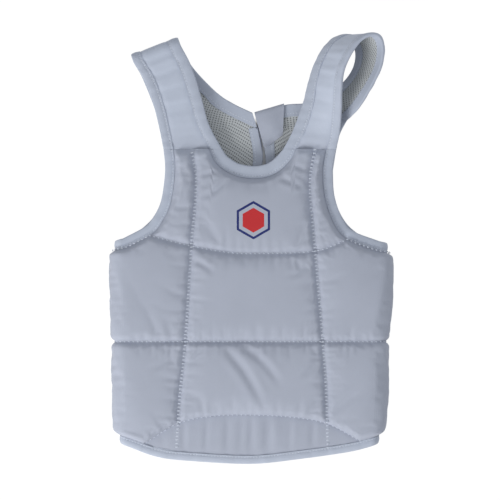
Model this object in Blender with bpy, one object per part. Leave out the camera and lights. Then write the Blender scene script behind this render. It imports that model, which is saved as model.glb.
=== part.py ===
"""Padded chest protector of white fabric, lying on its back with its shoulder straps folded over.

+X points to the wearer's left as seen from the front, +Y from the hem to the shoulders, +Z out of
the chest. The origin lies under the middle of the vest, on the surface that it rests on.
Each sheet and edge tape is laid out flat and then rolled round the sides or over the shoulders.
"""
import math

import bpy
import numpy as np

# Cloth, foam and tape, in metres
FIT = 0.0003                # gap left between touching pieces
LINING = 0.0010             # thickness of the mesh lining
COVER = 0.0010              # thickness of the outer fabric
FOAM = 0.0100               # thickness of the foam in the middle of a cell
ROLL_OFF = 0.0140           # distance from a seam at which the foam is full
TAPE = 0.0010               # thickness of the edge tape
NECK_BAND = 0.0160          # visible width of the neck tape
ARM_BAND = 0.0120           # visible width of the armhole tape
HEM_BAND = 0.0100           # visible width of the hem tape
CENTRE_BAND = 0.0120        # visible width of the tape on the back slit
FOLD_RADIUS = 0.0082        # inner radius of the roll at each side

# Outline of the padded front, laid out flat
PAD_TOP = 0.1400            # height at which the shoulder straps begin
WAIST = -0.1292             # height of the straight waist seam
UNDERARM = {-1: 0.0080, 1: 0.0055}
HEM_CORNER = -0.2660        # height of the hem at the side seam
SIDE_TOP = {-1: 0.1795, 1: 0.1790}          # half width at the underarm, up to the side roll
SIDE_BOTTOM = {-1: 0.1725, 1: 0.1670}       # half width at the hem, up to the side roll
ARM_LINE = {
    -1: [(-0.1230, PAD_TOP), (-0.1208, 0.1100), (-0.1267, 0.0672), (-0.1396, 0.0414),
         (-0.1505, 0.0305)],
    1: [(0.1182, PAD_TOP), (0.1135, 0.1100), (0.1160, 0.0750), (0.1270, 0.0430),
        (0.1420, 0.0255)],
}
ARM_LOW = {-1: 0.0150, 1: 0.0110}           # height of the armhole where the side roll begins
NECK_LINE = [(-0.0413, PAD_TOP), (-0.0329, 0.1290), (-0.0161, 0.1193), (0.0077, 0.1165),
             (0.0275, 0.1230), (0.0445, PAD_TOP)]
HEM_LINE = [(-0.1800, -0.2735), (-0.1320, -0.2906), (-0.0830, -0.2965), (0.0, -0.3004),
            (0.0679, -0.2936), (0.1338, -0.2842), (0.1660, -0.2766), (0.1800, -0.2722)]
ARCH_END = 0.1555           # half span of the arched hem seam
ARCH_LINE = [(-0.1026, -0.2435), (-0.0550, -0.2335), (0.0, -0.2318), (0.0600, -0.2352),
             (0.1071, -0.2446)]
CHEST_LINE = [(-0.0860, 0.0050), (-0.0320, -0.0046), (0.0105, -0.0060), (0.0889, -0.0025)]
UPRIGHT_LINE = {
    -1: [(-0.0839, PAD_TOP), (-0.0776, 0.0900), (-0.0839, 0.0073), (-0.0928, -0.1295),
         (-0.1007, -0.2100), (-0.1050, -0.2900)],
    1: [(0.0889, PAD_TOP), (0.0818, 0.0900), (0.0889, -0.0014), (0.0997, -0.1288),
        (0.1050, -0.2100), (0.1070, -0.2900)],
}

# Shoulder straps: neck end and arm end of each cross line, from the pad up and over; the right
# strap stands in a loop, so its ends have heights above the front too
STRAP_RISE = 0.0020         # height that the folded left strap gains on its way up
LEFT_STRAP = [((-0.0413, PAD_TOP), (-0.1230, PAD_TOP)), ((-0.0595, 0.1742), (-0.1290, 0.1700)),
              ((-0.0701, 0.2117), (-0.1370, 0.2020)), ((-0.0836, 0.2545), (-0.1490, 0.2350)),
              ((-0.0993, 0.2854), (-0.1650, 0.2613))]
LEFT_CREST_TURN = math.radians(20.0)        # angle of the left crest off the X axis
RIGHT_STRAP = [((0.0445, PAD_TOP, 0.0), (0.1182, PAD_TOP, 0.0)),
               ((0.0585, 0.1666, -0.0005), (0.1235, 0.1638, 0.0100)),
               ((0.0728, 0.2037, -0.0015), (0.1260, 0.1950, 0.0270)),
               ((0.0795, 0.2280, -0.0025), (0.1262, 0.2220, 0.0390)),
               ((0.0870, 0.2520, -0.0040), (0.1290, 0.2480, 0.0460)),
               ((0.0975, 0.2740, -0.0060), (0.1395, 0.2720, 0.0490)),
               ((0.1120, 0.2915, -0.0085), (0.1540, 0.2905, 0.0490)),
               ((0.1290, 0.2975, -0.0105), (0.1700, 0.2972, 0.0470)),
               ((0.1410, 0.2900, -0.0125), (0.1795, 0.2925, 0.0440)),
               ((0.1462, 0.2740, -0.0140), (0.1830, 0.2790, 0.0410)),
               ((0.1425, 0.2537, -0.0150), (0.1800, 0.2560, 0.0370)),
               ((0.1285, 0.2338, -0.0158), (0.1680, 0.2290, 0.0310)),
               ((0.1060, 0.2180, -0.0163), (0.1500, 0.1980, 0.0180)),
               ((0.0880, 0.2095, -0.0164), (0.1390, 0.1850, 0.0020))]

# Back halves, laid out flat: centre edge or neckline, and armhole, of each cross line
LEFT_BACK = [((-0.0820, 0.2547), (-0.1530, 0.2400)), ((-0.0482, 0.2194), (-0.1344, 0.1929)),
             ((-0.0253, 0.2041), (-0.1264, 0.1581)), ((0.0030, 0.1905), (-0.1213, 0.1300))]
RIGHT_BACK = [((0.0725, 0.2041), (0.1330, 0.1790)), ((0.0459, 0.2020), (0.1235, 0.1600)),
              ((0.0070, 0.1905), (0.1180, 0.1350))]
LEFT_SLIT = [((0.0090, 0.1720), (-0.1211, 0.1100)), ((0.0150, 0.1400), (-0.1225, 0.0850)),
             ((0.0148, 0.1185), (-0.1290, 0.0600)), ((0.0060, 0.0800), (-0.1410, 0.0400)),
             ((0.0020, 0.0450), (-0.1610, 0.0221))]
RIGHT_SLIT = [((0.0175, 0.1720), (0.1140, 0.1100)), ((0.0190, 0.1400), (0.1150, 0.0840)),
              ((0.0202, 0.1185), (0.1190, 0.0620)), ((0.0170, 0.0800), (0.1320, 0.0370)),
              ((0.0150, 0.0450), (0.1500, 0.0205))]
SLIT_FOOT = {-1: (-0.0005, -0.0040), 1: (0.0140, 0.0120)}   # slit edge at the underarm and the hem
UNDERARM_ROW = 0.0150       # height at the slit of the cross line that meets the underarm
RIB_ROW = -0.0600           # height of the cross line at the ribs
BELLY_ROW = -0.1592         # height of the cross line at the belly
BACK_HEM = -0.2940          # height of the back hem at the slit
HEM_BOW = 0.0100            # sag of the back hem between its corners

# Closures
BAND_WIDTH = 0.0400         # width of the closing bands
BAND = 0.0012               # thickness of the upper elastic band
HOOK = 0.0010               # thickness of the hook and loop tape
BAND_BEND = 0.0006          # rounding of the upper band where it turns over the neckline
BAND_SET = 0.0030           # run over which the upper band comes down on the back
SEWN = 0.0100               # end of the upper band's sewn root
UPPER_LENGTH = 0.0490       # length of the upper band from its crest
UPPER_END = (0.0355, 0.1495)                # place of the upper band's free end
UPPER_HOOK = (0.0080, 0.0220, 0.0340)       # ends and middle of the hook tape under the band
HOOK_INSET = 0.0030         # how far the hook tape stays inside the band's sides
CURL = 0.0070               # height that the free end of the upper band curls up
LOWER_HEIGHT = -0.1300      # height of the lower band's centre line
LOWER_ROOT = 0.0265         # place where the lower band is sewn to the right half
LOWER_ELASTIC = 0.0600      # length of the elastic in the lower band
LOWER_HOOK = 0.0450         # length of the hook tape in the lower band
LOOP_LENGTH = 0.0800        # length of the lower loop patch
LOOP_ROOT = -0.0250         # end of the lower loop patch next to the slit
NECK_LOOP = (-0.0325, 0.1585)               # centre of the upper loop patch
NECK_LOOP_SIZE = (0.0450, 0.0270)
CORNER = 0.0040             # corner radius of the flat patches

STACK = LINING + FIT + COVER                # lining and outer fabric where no foam parts them
EDGE = FIT + TAPE                           # how far the tape reaches past the cloth's edge
BACK_LEVEL = EDGE + STACK                   # inner face of the back halves
FRONT_LEVEL = BACK_LEVEL + 2 * FOLD_RADIUS  # inner face of the front
SIDE_ROLL = math.pi * FOLD_RADIUS           # flat length of the roll at each side
ROLL_STEPS = 8              # straight pieces round each side roll
STRAP_STEPS = 2             # straight pieces from one strap cross line to the next
CREST_STEPS = 8             # straight pieces round the folded crest of the left strap
ROLL_ANGLES = np.linspace(math.pi, 0.0, ROLL_STEPS + 1)
ROW_STEPS = [0, 0.05, 0.14, 0.36, 0.64, 0.86, 0.95, 1]
CENTRE_STEPS = [0, 0.03, 0.08, 0.2, 0.35, 0.5, 0.65, 0.8, 0.92, 0.97, 1]
CHEST_STEPS = [0, 0.25, 0.5, 0.75, 0.91, 1]
WAIST_STEPS = [0.19, 0.40, 0.56, 0.70, 0.84, 0.94, 1]
ARCH_STEPS = [0, 0.15, 0.35, 0.55, 0.75, 0.91, 1]
NECK_STEPS = 6
HEM_STEPS = 8
SEAM_ROWS = 4               # cross lines of a back half that end at the side seam
SLANT = 1.5                 # widens the gap between strap and back, whose cross lines slant

WHITE = (0.66, 0.70, 0.77)
SATIN = (0.64, 0.68, 0.78)
MESH_GREY = (0.60, 0.62, 0.62)
FOAM_GREY = (0.75, 0.75, 0.72)
TAPE_WHITE = (0.68, 0.73, 0.80)
HOOK_GREY = (0.55, 0.56, 0.58)
SIDES = {-1: "left", 1: "right"}
DENSE = 24                  # points between two given points of a smooth curve


# ---------------------------------------------------------------- curves and grids

def spline(points, at):
    """Catmull-Rom curve through the points, where a whole number falls on each point."""
    p = np.array(points, float)
    p = np.vstack([2 * p[0] - p[1], p, 2 * p[-1] - p[-2]])
    at = np.asarray(at, float)
    i = np.clip(np.floor(at).astype(int), 0, len(points) - 2)
    t = (at - i)[:, None]
    a, b, c, d = p[i], p[i + 1], p[i + 2], p[i + 3]
    return 0.5 * (2 * b + (c - a) * t + (2 * a - 5 * b + 4 * c - d) * t ** 2
                  + (3 * b - a - 3 * c + d) * t ** 3)


def smooth(points):
    """The same curve as a dense row of points."""
    return spline(points, np.linspace(0, len(points) - 1, DENSE * (len(points) - 1) + 1))


def by_length(points, fractions):
    """Points at the given fractions of a smooth curve's length."""
    dense = smooth(points)
    walked = np.append(0, np.cumsum(np.linalg.norm(np.diff(dense, axis=0), axis=1)))
    return np.column_stack([np.interp(np.array(fractions) * walked[-1], walked, axis)
                            for axis in dense.T])


def by_x(points, values):
    """Points of a smooth curve at the given places along X, where X grows along the curve."""
    dense = smooth(points)
    return np.column_stack([values, np.interp(values, dense[:, 0], dense[:, 1])])


def by_y(points, values):
    """Points of a smooth curve at the given heights, where Y falls along the curve."""
    dense = smooth(points)[::-1]
    return np.column_stack([np.interp(values, dense[:, 1], dense[:, 0]), values])


def spread(low, high, fractions):
    """Values or points at the given fractions of the way from low to high."""
    low, high = np.array(low, float), np.array(high, float)
    return low + np.multiply.outer(np.array(fractions), high - low)


def coons(bottom, top, left, right):
    """Grid between four edges: bottom and top run the same way, and so do left and right."""
    def share(one, two):
        walked = [np.append(0, np.cumsum(np.linalg.norm(np.diff(e, axis=0), axis=1) + 1e-12))
                  for e in (one, two)]
        return (walked[0] / walked[0][-1] + walked[1] / walked[1][-1]) / 2
    u = share(bottom, top)[None, :, None]
    v = share(left, right)[:, None, None]
    rows = (1 - v) * bottom[None] + v * top[None]
    columns = (1 - u) * left[:, None] + u * right[:, None]
    corners = ((1 - u) * (1 - v) * bottom[0] + u * (1 - v) * bottom[-1]
               + (1 - u) * v * top[0] + u * v * top[-1])
    return rows + columns - corners


def distance(points, path):
    """Least distance from each point to a path of straight pieces."""
    a, b = path[:-1], path[1:]
    run = b - a
    size = np.maximum((run ** 2).sum(1), 1e-18)
    t = np.clip(((points[:, None] - a) * run).sum(2) / size, 0, 1)
    return np.linalg.norm(points[:, None] - (a + t[..., None] * run), axis=2).min(1)


# ---------------------------------------------------------------- solids

def keys_of(points):
    """Whole micrometres, by which points of neighbouring grids are told to be the same."""
    return [tuple(k) for k in np.round(np.asarray(points) * 1e6).astype(int)]


def grid_triangles(shape):
    """Corner numbers of a grid's triangles, each cell cut along the same diagonal."""
    rows, columns = shape
    first = (np.arange(rows - 1)[:, None] * columns + np.arange(columns - 1)).ravel()
    a, b, c, d = first, first + 1, first + columns + 1, first + columns
    return np.vstack([np.column_stack([a, b, c]), np.column_stack([a, c, d])])


def weld_patches(patches):
    """One flat mesh out of grids that share their edges: points, and triangles facing up."""
    number, triangles = {}, []
    for patch in patches:
        names = [number.setdefault(key, len(number)) for key in keys_of(patch.reshape(-1, 2))]
        triangles += [tuple(names[i] for i in t) for t in grid_triangles(patch.shape[:2])]
    points = np.array(list(number), float) * 1e-6
    triangles = np.array([t for t in triangles if len(set(t)) == 3])
    p = points[triangles]
    one, two = p[:, 1] - p[:, 0], p[:, 2] - p[:, 0]
    down = one[:, 0] * two[:, 1] - one[:, 1] * two[:, 0] < 0
    triangles[down] = triangles[down][:, ::-1]
    return points, triangles


def build(name, points, faces, colour, roughness):
    """A named object with its own material, from points and faces."""
    mesh = bpy.data.meshes.new(name)
    mesh.from_pydata([tuple(p) for p in points], [], [tuple(int(i) for i in f) for f in faces])
    mesh.update()
    piece = bpy.data.objects.new(name, mesh)
    PARTS.objects.link(piece)
    finish(piece, colour, roughness)
    point_outwards(mesh)
    return piece


def finish(piece, colour, roughness):
    """Give a piece a material of its own."""
    material = bpy.data.materials.new(piece.name)
    material.use_nodes = True
    shader = material.node_tree.nodes["Principled BSDF"]
    shader.inputs["Base Color"].default_value = (*colour, 1)
    shader.inputs["Roughness"].default_value = roughness
    shader.inputs["Metallic"].default_value = 0.0
    piece.data.materials.clear()
    piece.data.materials.append(material)


def point_outwards(mesh):
    """Turn a closed mesh right side out, by the sign of its volume."""
    mesh.calc_loop_triangles()
    points = np.array([v.co for v in mesh.vertices])
    p = points[np.array([t.vertices for t in mesh.loop_triangles])]
    if (p[:, 0] * np.cross(p[:, 1], p[:, 2])).sum() < 0:
        mesh.flip_normals()


def two_skins(name, inner, outer, triangles, colour, roughness=0.8):
    """Closed sheet between an inner and an outer skin that share their triangles."""
    count = len(inner)
    edges = [tuple(t[[i, (i + 1) % 3]]) for t in triangles for i in range(3)]
    seen = set(edges)
    rim = [(a, b, b + count, a + count) for a, b in edges if (b, a) not in seen]
    faces = list(triangles + count) + list(triangles[:, ::-1]) + rim
    return build(name, np.vstack([inner, outer]), faces, colour, roughness)


def channel(name, sections):
    """Folded edge tape: closed U sections in a row, with a face over each end."""
    sections = np.asarray(sections)
    stations, corners = sections.shape[:2]
    faces = []
    for i in range(stations - 1):
        for j in range(corners):
            a, b = i * corners + j, i * corners + (j + 1) % corners
            c, d = b + corners, a + corners
            faces += [(a, b, c), (a, c, d)] if j in (0, 4) else [(a, b, d), (b, c, d)]
    last = (stations - 1) * corners
    faces += [tuple(range(corners))[::-1], tuple(range(last, last + corners))]
    return build(name, sections.reshape(-1, 3), faces, TAPE_WHITE, 0.6)


def tape_profile(band):
    """U section: shares of the band's width inwards, and heights across the cloth."""
    out, gap, tip = -EDGE / band, -FIT / band, 1 - FIT / band
    low, high = -FIT, STACK + FIT
    return [(out, low - TAPE), (tip, low - TAPE), (tip, low), (gap, low),
            (gap, high), (tip, high), (tip, high + TAPE), (out, high + TAPE)]


# ---------------------------------------------------------------- padded front

def side_line(side, y):
    """Half width at which the side roll begins, at a height."""
    share = (y - HEM_CORNER) / (UNDERARM[side] - HEM_CORNER)
    return SIDE_BOTTOM[side] + (SIDE_TOP[side] - SIDE_BOTTOM[side]) * share


def roll_angle(flat):
    """Angle round the side roll of flat points: 0 on the front, 180 degrees at the side seam."""
    line = np.where(flat[:, 0] < 0, side_line(-1, flat[:, 1]), side_line(1, flat[:, 1]))
    return line, np.maximum(np.abs(flat[:, 0]) - line, 0) / FOLD_RADIUS


def roll(flat, lift):
    """Lay flat points round the sides, lifted off the front's inner face."""
    flat = np.asarray(flat)
    line, angle = roll_angle(flat)
    reach = FOLD_RADIUS + lift
    x = np.sign(flat[:, 0]) * (np.minimum(np.abs(flat[:, 0]), line) + reach * np.sin(angle))
    return np.column_stack([x, flat[:, 1], BACK_LEVEL + FOLD_RADIUS + reach * np.cos(angle)])


def rolled_row(side, heights):
    """Points from the side seam to the start of the roll, at the given heights."""
    return np.array([(side * (side_line(side, y) + FOLD_RADIUS * angle), y)
                     for angle, y in zip(ROLL_ANGLES, heights)])


def rolled_column(side, heights):
    """Points along the side seam at the given heights."""
    return np.array([(side * (side_line(side, y) + SIDE_ROLL), y) for y in heights])


def turned(line, side):
    """Unit vectors square to a flat path, on its right for side 1 and its left for side -1."""
    run = np.gradient(line, axis=0)
    normal = np.column_stack([run[:, 1], -run[:, 0]]) * side
    return normal / np.linalg.norm(normal, axis=1)[:, None]


def arm_rows(side):
    """Cloth edge and inner tape line of the armhole, from the pad's top to the side seam."""
    upper = by_length(ARM_LINE[side], ROW_STEPS)
    heights = spread(UNDERARM[side], ARM_LOW[side], np.linspace(0, 1, ROLL_STEPS + 1))
    rolled = rolled_row(side, heights)[::-1]
    line = np.vstack([upper, [(upper[-1] + rolled[0]) / 2], rolled])
    first = len(upper) + 1
    normal = turned(line, side)
    normal[0] = (-side, 0)
    normal[first:] = (0, -1)
    edge = line + normal * EDGE
    inner = edge + normal * ARM_BAND
    for row in (edge, inner):
        row[first:] = rolled_row(side, row[first:, 1][::-1])[::-1]
    return edge, inner


def neck_rows():
    """Cloth edge and inner tape line of the front neckline, from left to right."""
    line = by_length(NECK_LINE, np.linspace(0, 1, NECK_STEPS + 1))
    normal = turned(line, 1)
    normal[0], normal[-1] = (-1, 0), (1, 0)
    edge = line + normal * EDGE
    return edge, edge + normal * NECK_BAND


def hem_rows():
    """Cloth edge and inner tape line of the front hem, from side seam to side seam."""
    foot = [by_y(UPRIGHT_LINE[side], [BACK_HEM])[0, 0] for side in (-1, 1)]
    middle = np.concatenate([spread(-ARCH_END, foot[0], ARCH_STEPS),
                             spread(*foot, CENTRE_STEPS)[1:-1],
                             spread(foot[1], ARCH_END, 1 - np.array(ARCH_STEPS)[::-1])])
    ends = []
    for side in (-1, 1):
        start = side * side_line(side, HEM_CORNER)
        height = by_x(HEM_LINE, [start])[0, 1]
        heights = spread(HEM_CORNER, height, np.linspace(0, 1, ROLL_STEPS + 1))
        ends.append(rolled_row(side, heights))
    line = np.vstack([ends[0], by_x(HEM_LINE, middle), ends[1][::-1]])
    normal = turned(line, -1)
    count = ROLL_STEPS + 1
    normal[:count] = normal[-count:] = (0, 1)
    edge = line + normal * EDGE
    inner = edge + normal * HEM_BAND
    for row in (edge, inner):
        row[:count] = rolled_row(-1, row[:count, 1])
        row[-count:] = rolled_row(1, row[-count:, 1][::-1])[::-1]
    return edge, inner


def crossing(side, path):
    """Point where an upright seam crosses a level one."""
    point = np.array([0.0, 0.0])
    for _ in range(20):
        point = by_y(UPRIGHT_LINE[side], [point[1]])[0]
        point = by_x(path, [point[0]])[0]
    return point


def upright(side, low, high, steps):
    """Upright seam from one point up to another, at fractions of the height between them."""
    points = by_y(UPRIGHT_LINE[side], spread(low[1], high[1], steps))
    points[0], points[-1] = low, high
    return points


def front_layout():
    """Flat grids of the front: padded cells by name, and the unpadded strips."""
    arms = {side: arm_rows(side) for side in (-1, 1)}
    neck_edge, neck_inner = neck_rows()
    hem_edge, hem_inner = hem_rows()
    last = len(ROW_STEPS) - 1
    split = {side: arms[side][1][last] for side in (-1, 1)}
    count = ROLL_STEPS + 1
    arch_foot = {-1: hem_inner[count], 1: hem_inner[-count - 1]}
    chest = [split[-1]] + CHEST_LINE + [split[1]]
    arch = [arch_foot[-1]] + ARCH_LINE + [arch_foot[1]]
    cells, strips, corners = {}, [], {}
    for side, word in SIDES.items():
        edge, inner = arms[side]
        top = by_y(UPRIGHT_LINE[side], [PAD_TOP])[0]
        chest_at, arch_at = crossing(side, chest), crossing(side, arch)
        waist_at = by_y(UPRIGHT_LINE[side], [WAIST])[0]
        corners[side] = (top, chest_at, waist_at, arch_at)
        chest_row = by_x(chest, spread(split[side][0], chest_at[0], CHEST_STEPS))
        arch_row = by_x(arch, spread(arch_foot[side][0], arch_at[0], ARCH_STEPS))
        cells["chest_" + word] = coons(chest_row, spread(inner[0], top, CHEST_STEPS),
                                       inner[:last + 1][::-1],
                                       upright(side, chest_at, top, ROW_STEPS))
        rolled = rolled_row(side, [WAIST] * count)
        waist_row = np.vstack([rolled, spread(rolled[-1], waist_at, WAIST_STEPS)])
        seam = rolled_column(side, spread(WAIST, inner[-1][1], ROW_STEPS))
        cells["rib_" + word] = coons(waist_row, np.vstack([inner[last:][::-1], chest_row[1:]]),
                                     seam, upright(side, waist_at, chest_at, ROW_STEPS))
        hem = hem_inner if side < 0 else hem_inner[::-1]
        lens = hem[count:count + len(ARCH_STEPS)]
        seam = rolled_column(side, spread(hem[0][1], WAIST, ROW_STEPS))
        cells["belly_" + word] = coons(np.vstack([hem[:count], arch_row]), waist_row, seam,
                                       upright(side, arch_at, waist_at, ROW_STEPS))
        strips.append(coons(lens, arch_row, np.array([lens[0]] * 3),
                            spread(lens[-1], arch_at, [0, 0.5, 1])))
        strips.append(np.array([edge, inner]))
    left, right = corners[-1], corners[1]
    between = [spread(left[i][0], right[i][0], CENTRE_STEPS) for i in range(4)]
    chest_row, arch_row = by_x(chest, between[1]), by_x(arch, between[3])
    waist_row = np.column_stack([between[2], np.full(len(between[2]), WAIST)])
    neck_top = np.vstack([left[0], (left[0] + neck_inner[0]) / 2, neck_inner,
                          (right[0] + neck_inner[-1]) / 2, right[0]])
    uprights = {row: [upright(side, corners[side][row + 1], corners[side][row], ROW_STEPS)
                      for side in (-1, 1)] for row in range(3)}
    cells["chest_centre"] = coons(chest_row, neck_top, *uprights[0])
    cells["rib_centre"] = coons(waist_row, chest_row, *uprights[1])
    cells["belly_centre"] = coons(arch_row, waist_row, *uprights[2])
    start = count + len(ARCH_STEPS) - 1
    lens = hem_inner[start:start + len(CENTRE_STEPS)]
    strips.append(coons(lens, arch_row, spread(lens[0], left[3], [0, 0.5, 1]),
                        spread(lens[-1], right[3], [0, 0.5, 1])))
    strips += [np.array([neck_edge, neck_inner]), np.array([hem_edge, hem_inner])]
    return cells, strips, arms, (neck_edge, neck_inner), (hem_edge, hem_inner)


def foam_heights(cell):
    """Foam thickness over a cell: full inside, rolled off to its seams, flat on the table."""
    path = np.vstack([cell[0], cell[:, -1], cell[-1][::-1], cell[:, 0][::-1]])
    points = cell.reshape(-1, 2)
    near = np.clip(distance(points, path) / ROLL_OFF, 0, 1)
    height = FOAM * (1 - (1 - near) ** 2)
    fall = -np.cos(roll_angle(points)[1])
    table = (BACK_LEVEL + FOLD_RADIUS) / np.maximum(fall, 1e-3) - FOLD_RADIUS - STACK
    return np.where(fall > 1e-3, np.minimum(height, table), height)


def make_front(cells, strips):
    """Lining, quilted cover and the foam cores between them."""
    plain = [cell if "chest" in name else cell[[0, -1]] for name, cell in cells.items()]
    points, triangles = weld_patches(plain + strips)
    two_skins("front_lining", roll(points, 0.0), roll(points, LINING), triangles, MESH_GREY)
    points, triangles = weld_patches(list(cells.values()) + strips)
    depth = {}
    for cell in cells.values():
        depth.update(zip(keys_of(cell.reshape(-1, 2)), foam_heights(cell)))
    puff = np.array([depth.get(key, 0.0) for key in keys_of(points)])
    two_skins("front_cover", roll(points, LINING + FIT + puff), roll(points, STACK + puff),
              triangles, WHITE, 0.5)
    for name, cell in cells.items():
        flat, faces = weld_patches([cell[1:-1, 1:-1]])
        puff = np.array([depth[key] for key in keys_of(flat)])
        two_skins("foam_" + name, roll(flat, LINING + FIT), roll(flat, LINING + puff), faces,
                  FOAM_GREY, 0.95)


def panel_sections(edge, inner, band):
    """Tape sections along a flat edge of the front."""
    return [roll([e + (i - e) * share for share, _ in tape_profile(band)],
                 np.array([lift for _, lift in tape_profile(band)]))
            for e, i in zip(edge, inner)]


# ---------------------------------------------------------------- shoulder straps and back

def left_strap(at):
    """Cross lines of the left strap: up the front, round the folded crest, down the back."""
    front = [(*a, FRONT_LEVEL + STRAP_RISE * i / 4, *b, FRONT_LEVEL + STRAP_RISE * i / 4)
             for i, (a, b) in enumerate(LEFT_STRAP)]
    top = np.array(front[-1]).reshape(2, 3)
    radius = (top[0, 2] - BACK_LEVEL) / 2
    back = [(*a, BACK_LEVEL, *b, BACK_LEVEL) for a, b in [LEFT_STRAP[-1]] + LEFT_BACK]
    forth = np.array([-math.sin(LEFT_CREST_TURN), math.cos(LEFT_CREST_TURN), 0])
    end = len(front) - 1
    lines = []
    for u in at:
        if u <= end:
            lines.append(spline(front, [u])[0].reshape(2, 3))
        elif u < end + 1:
            angle = (u - end) * math.pi
            drop = np.array([0, 0, radius * (math.cos(angle) - 1)])
            lines.append(top + forth * radius * math.sin(angle) + drop)
        else:
            lines.append(spline(back, [u - end - 1])[0].reshape(2, 3))
    return np.array(lines)


def right_strap(at):
    """Cross lines of the right strap: up the front, round the standing loop, down the back."""
    rows = [(*a[:2], FRONT_LEVEL + a[2], *b[:2], FRONT_LEVEL + b[2]) for a, b in RIGHT_STRAP]
    rows += [(*a, BACK_LEVEL, *b, BACK_LEVEL) for a, b in RIGHT_BACK]
    lines = spline(rows, at).reshape(-1, 2, 3)
    lines[..., 2] = np.maximum(lines[..., 2], BACK_LEVEL)
    return lines


def flat_back(side):
    """Cross lines of a back half below the neckline, down to the hem."""
    slit, foot = {-1: LEFT_SLIT, 1: RIGHT_SLIT}[side], SLIT_FOOT[side]
    rows = list(slit)
    levels = [UNDERARM[side] - EDGE, RIB_ROW, BELLY_ROW, HEM_CORNER + EDGE]
    heights = [UNDERARM_ROW, RIB_ROW, BELLY_ROW, BACK_HEM + EDGE]
    for level, height, share in zip(levels, heights, (0, 0.25, 0.6, 1)):
        rows.append(((foot[0] + (foot[1] - foot[0]) * share, height),
                     (side * (side_line(side, level) - FIT), level)))
    return np.array([[(*a, BACK_LEVEL), (*b, BACK_LEVEL)] for a, b in rows])


class Sheet:
    """Cross lines of a strap or back half, with a normal at each of its grid points."""

    def __init__(self, side, lines, runs, whole_edges):
        across = lines[:, 1] - lines[:, 0]
        across /= np.linalg.norm(across, axis=1)[:, None]
        lines = lines.copy()
        lines[:, 0] += across * EDGE
        lines[:whole_edges, 1] -= across[:whole_edges] * EDGE
        self.side, self.lines, self.runs = side, lines, runs
        width = np.linalg.norm(lines[:, 1] - lines[:, 0], axis=1)
        neck, arm = NECK_BAND / width, 1 - ARM_BAND / width
        self.shares = np.column_stack([0 * width, neck, (neck + arm) / 2, arm, 0 * width + 1])

    def points(self, shares, lift):
        """Points at a share of each cross line, lifted along the sheet's normal."""
        shares = shares[:, None]
        flat = self.lines[:, 0] + (self.lines[:, 1] - self.lines[:, 0]) * shares
        run = self.runs[:, 0] + (self.runs[:, 1] - self.runs[:, 0]) * shares
        normal = np.cross(self.lines[:, 1] - self.lines[:, 0], run) * self.side
        return flat + normal / np.linalg.norm(normal, axis=1)[:, None] * lift

    def grid(self, lift, bow=0.0):
        """Grid over the sheet, whose last cross line sags by the bow."""
        grid = np.stack([self.points(share, lift) for share in self.shares.T], axis=1)
        share = self.shares[-1]
        grid[-1, :, 1] -= bow * 4 * share * (1 - share)
        return grid

    def sections(self, edge, band):
        """Tape sections along the neck (0) or arm (1) edge."""
        width = np.linalg.norm(self.lines[:, 1] - self.lines[:, 0], axis=1)
        step = band / width
        corners = [self.points(share * step if edge == 0 else 1 - share * step, lift)
                   for share, lift in tape_profile(band)]
        return np.stack(corners, axis=1)


def make_sheet(name, sheet, bow=0.0):
    """Lining and cover over the same cross lines."""
    triangles = grid_triangles(sheet.grid(0.0).shape[:2])
    for layer, low, high, colour in (("lining", 0.0, LINING, MESH_GREY),
                                     ("cover", LINING + FIT, STACK, SATIN)):
        skins = [sheet.grid(lift, bow).reshape(-1, 3) for lift in (low, high)]
        two_skins(name.format(layer), *skins, triangles, colour, 0.5)


def make_strap(side):
    """Shoulder strap from the top of the pad, over the shoulder, to the back half."""
    strap, folds, end, _ = STRAPS[side]
    at = np.linspace(0, end, STRAP_STEPS * end + 1)
    if folds:
        inside = (at > folds[0]) & (at < folds[1])
        at = np.sort(np.append(at[~inside], np.linspace(*folds, CREST_STEPS + 1)[1:-1]))
    pace = np.linalg.norm(np.diff(strap(np.array([0, 0.01])), axis=0)[0, 0]) * 100
    at[0] += FIT / pace
    step = 1e-4
    runs = strap(at + step) - strap(at - step)
    runs[0] = (0, 1, 0)
    runs[-1, :, 2] = 0
    sheet = Sheet(side, strap(at), runs, len(at))
    make_sheet("strap_{}_" + SIDES[side], sheet)
    return sheet


def make_back(side):
    """Back half below the strap, with the tapes on its neckline, armhole, slit and hem."""
    strap, _, start, corner = STRAPS[side]
    word = SIDES[side]
    at = np.linspace(start, corner, STRAP_STEPS * (corner - start) + 1)
    pace = np.linalg.norm(strap(np.array([start + 0.01])) - strap(np.array([start])), axis=2)
    at[0] += FIT / (pace.min() * 100) * SLANT
    lines = np.vstack([strap(at), flat_back(side)])
    runs = np.tile([0.0, -1.0, 0.0], (len(lines), 2, 1))
    back = Sheet(side, lines, runs, len(lines) - SEAM_ROWS)
    make_sheet("back_{}_" + word, back, HEM_BOW)
    inner, outer = back.lines[:, 0], back.lines[:, 1]
    row = (outer[0] - inner[0]) / np.linalg.norm(outer[0] - inner[0])
    seam = np.array([side * (SIDE_TOP[side] - SIDE_BOTTOM[side])
                     / (UNDERARM[side] - HEM_CORNER), 1, 0])
    neck = flat_sections(inner[:len(at)], (-side, 1, 0), NECK_BAND, first=row)
    channel("back_neck_tape_" + word, neck)
    arm = flat_sections(outer[:len(outer) - SEAM_ROWS + 1], (side, 1, 0), ARM_BAND,
                        first=-row, last=-seam)
    channel("back_arm_tape_" + word, arm)
    slit = flat_sections(inner[len(at):], (-side, 0, 0), CENTRE_BAND)
    channel("back_slit_tape_" + word, slit)
    share = np.linspace(0, 1, HEM_STEPS + 1)[1:]
    hem = spread(inner[-1], outer[-1], share)
    hem[:, 1] -= HEM_BOW * 4 * share * (1 - share)
    channel("back_hem_tape_" + word, flat_sections(hem, (0, -1, 0), HEM_BAND, last=seam))


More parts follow.
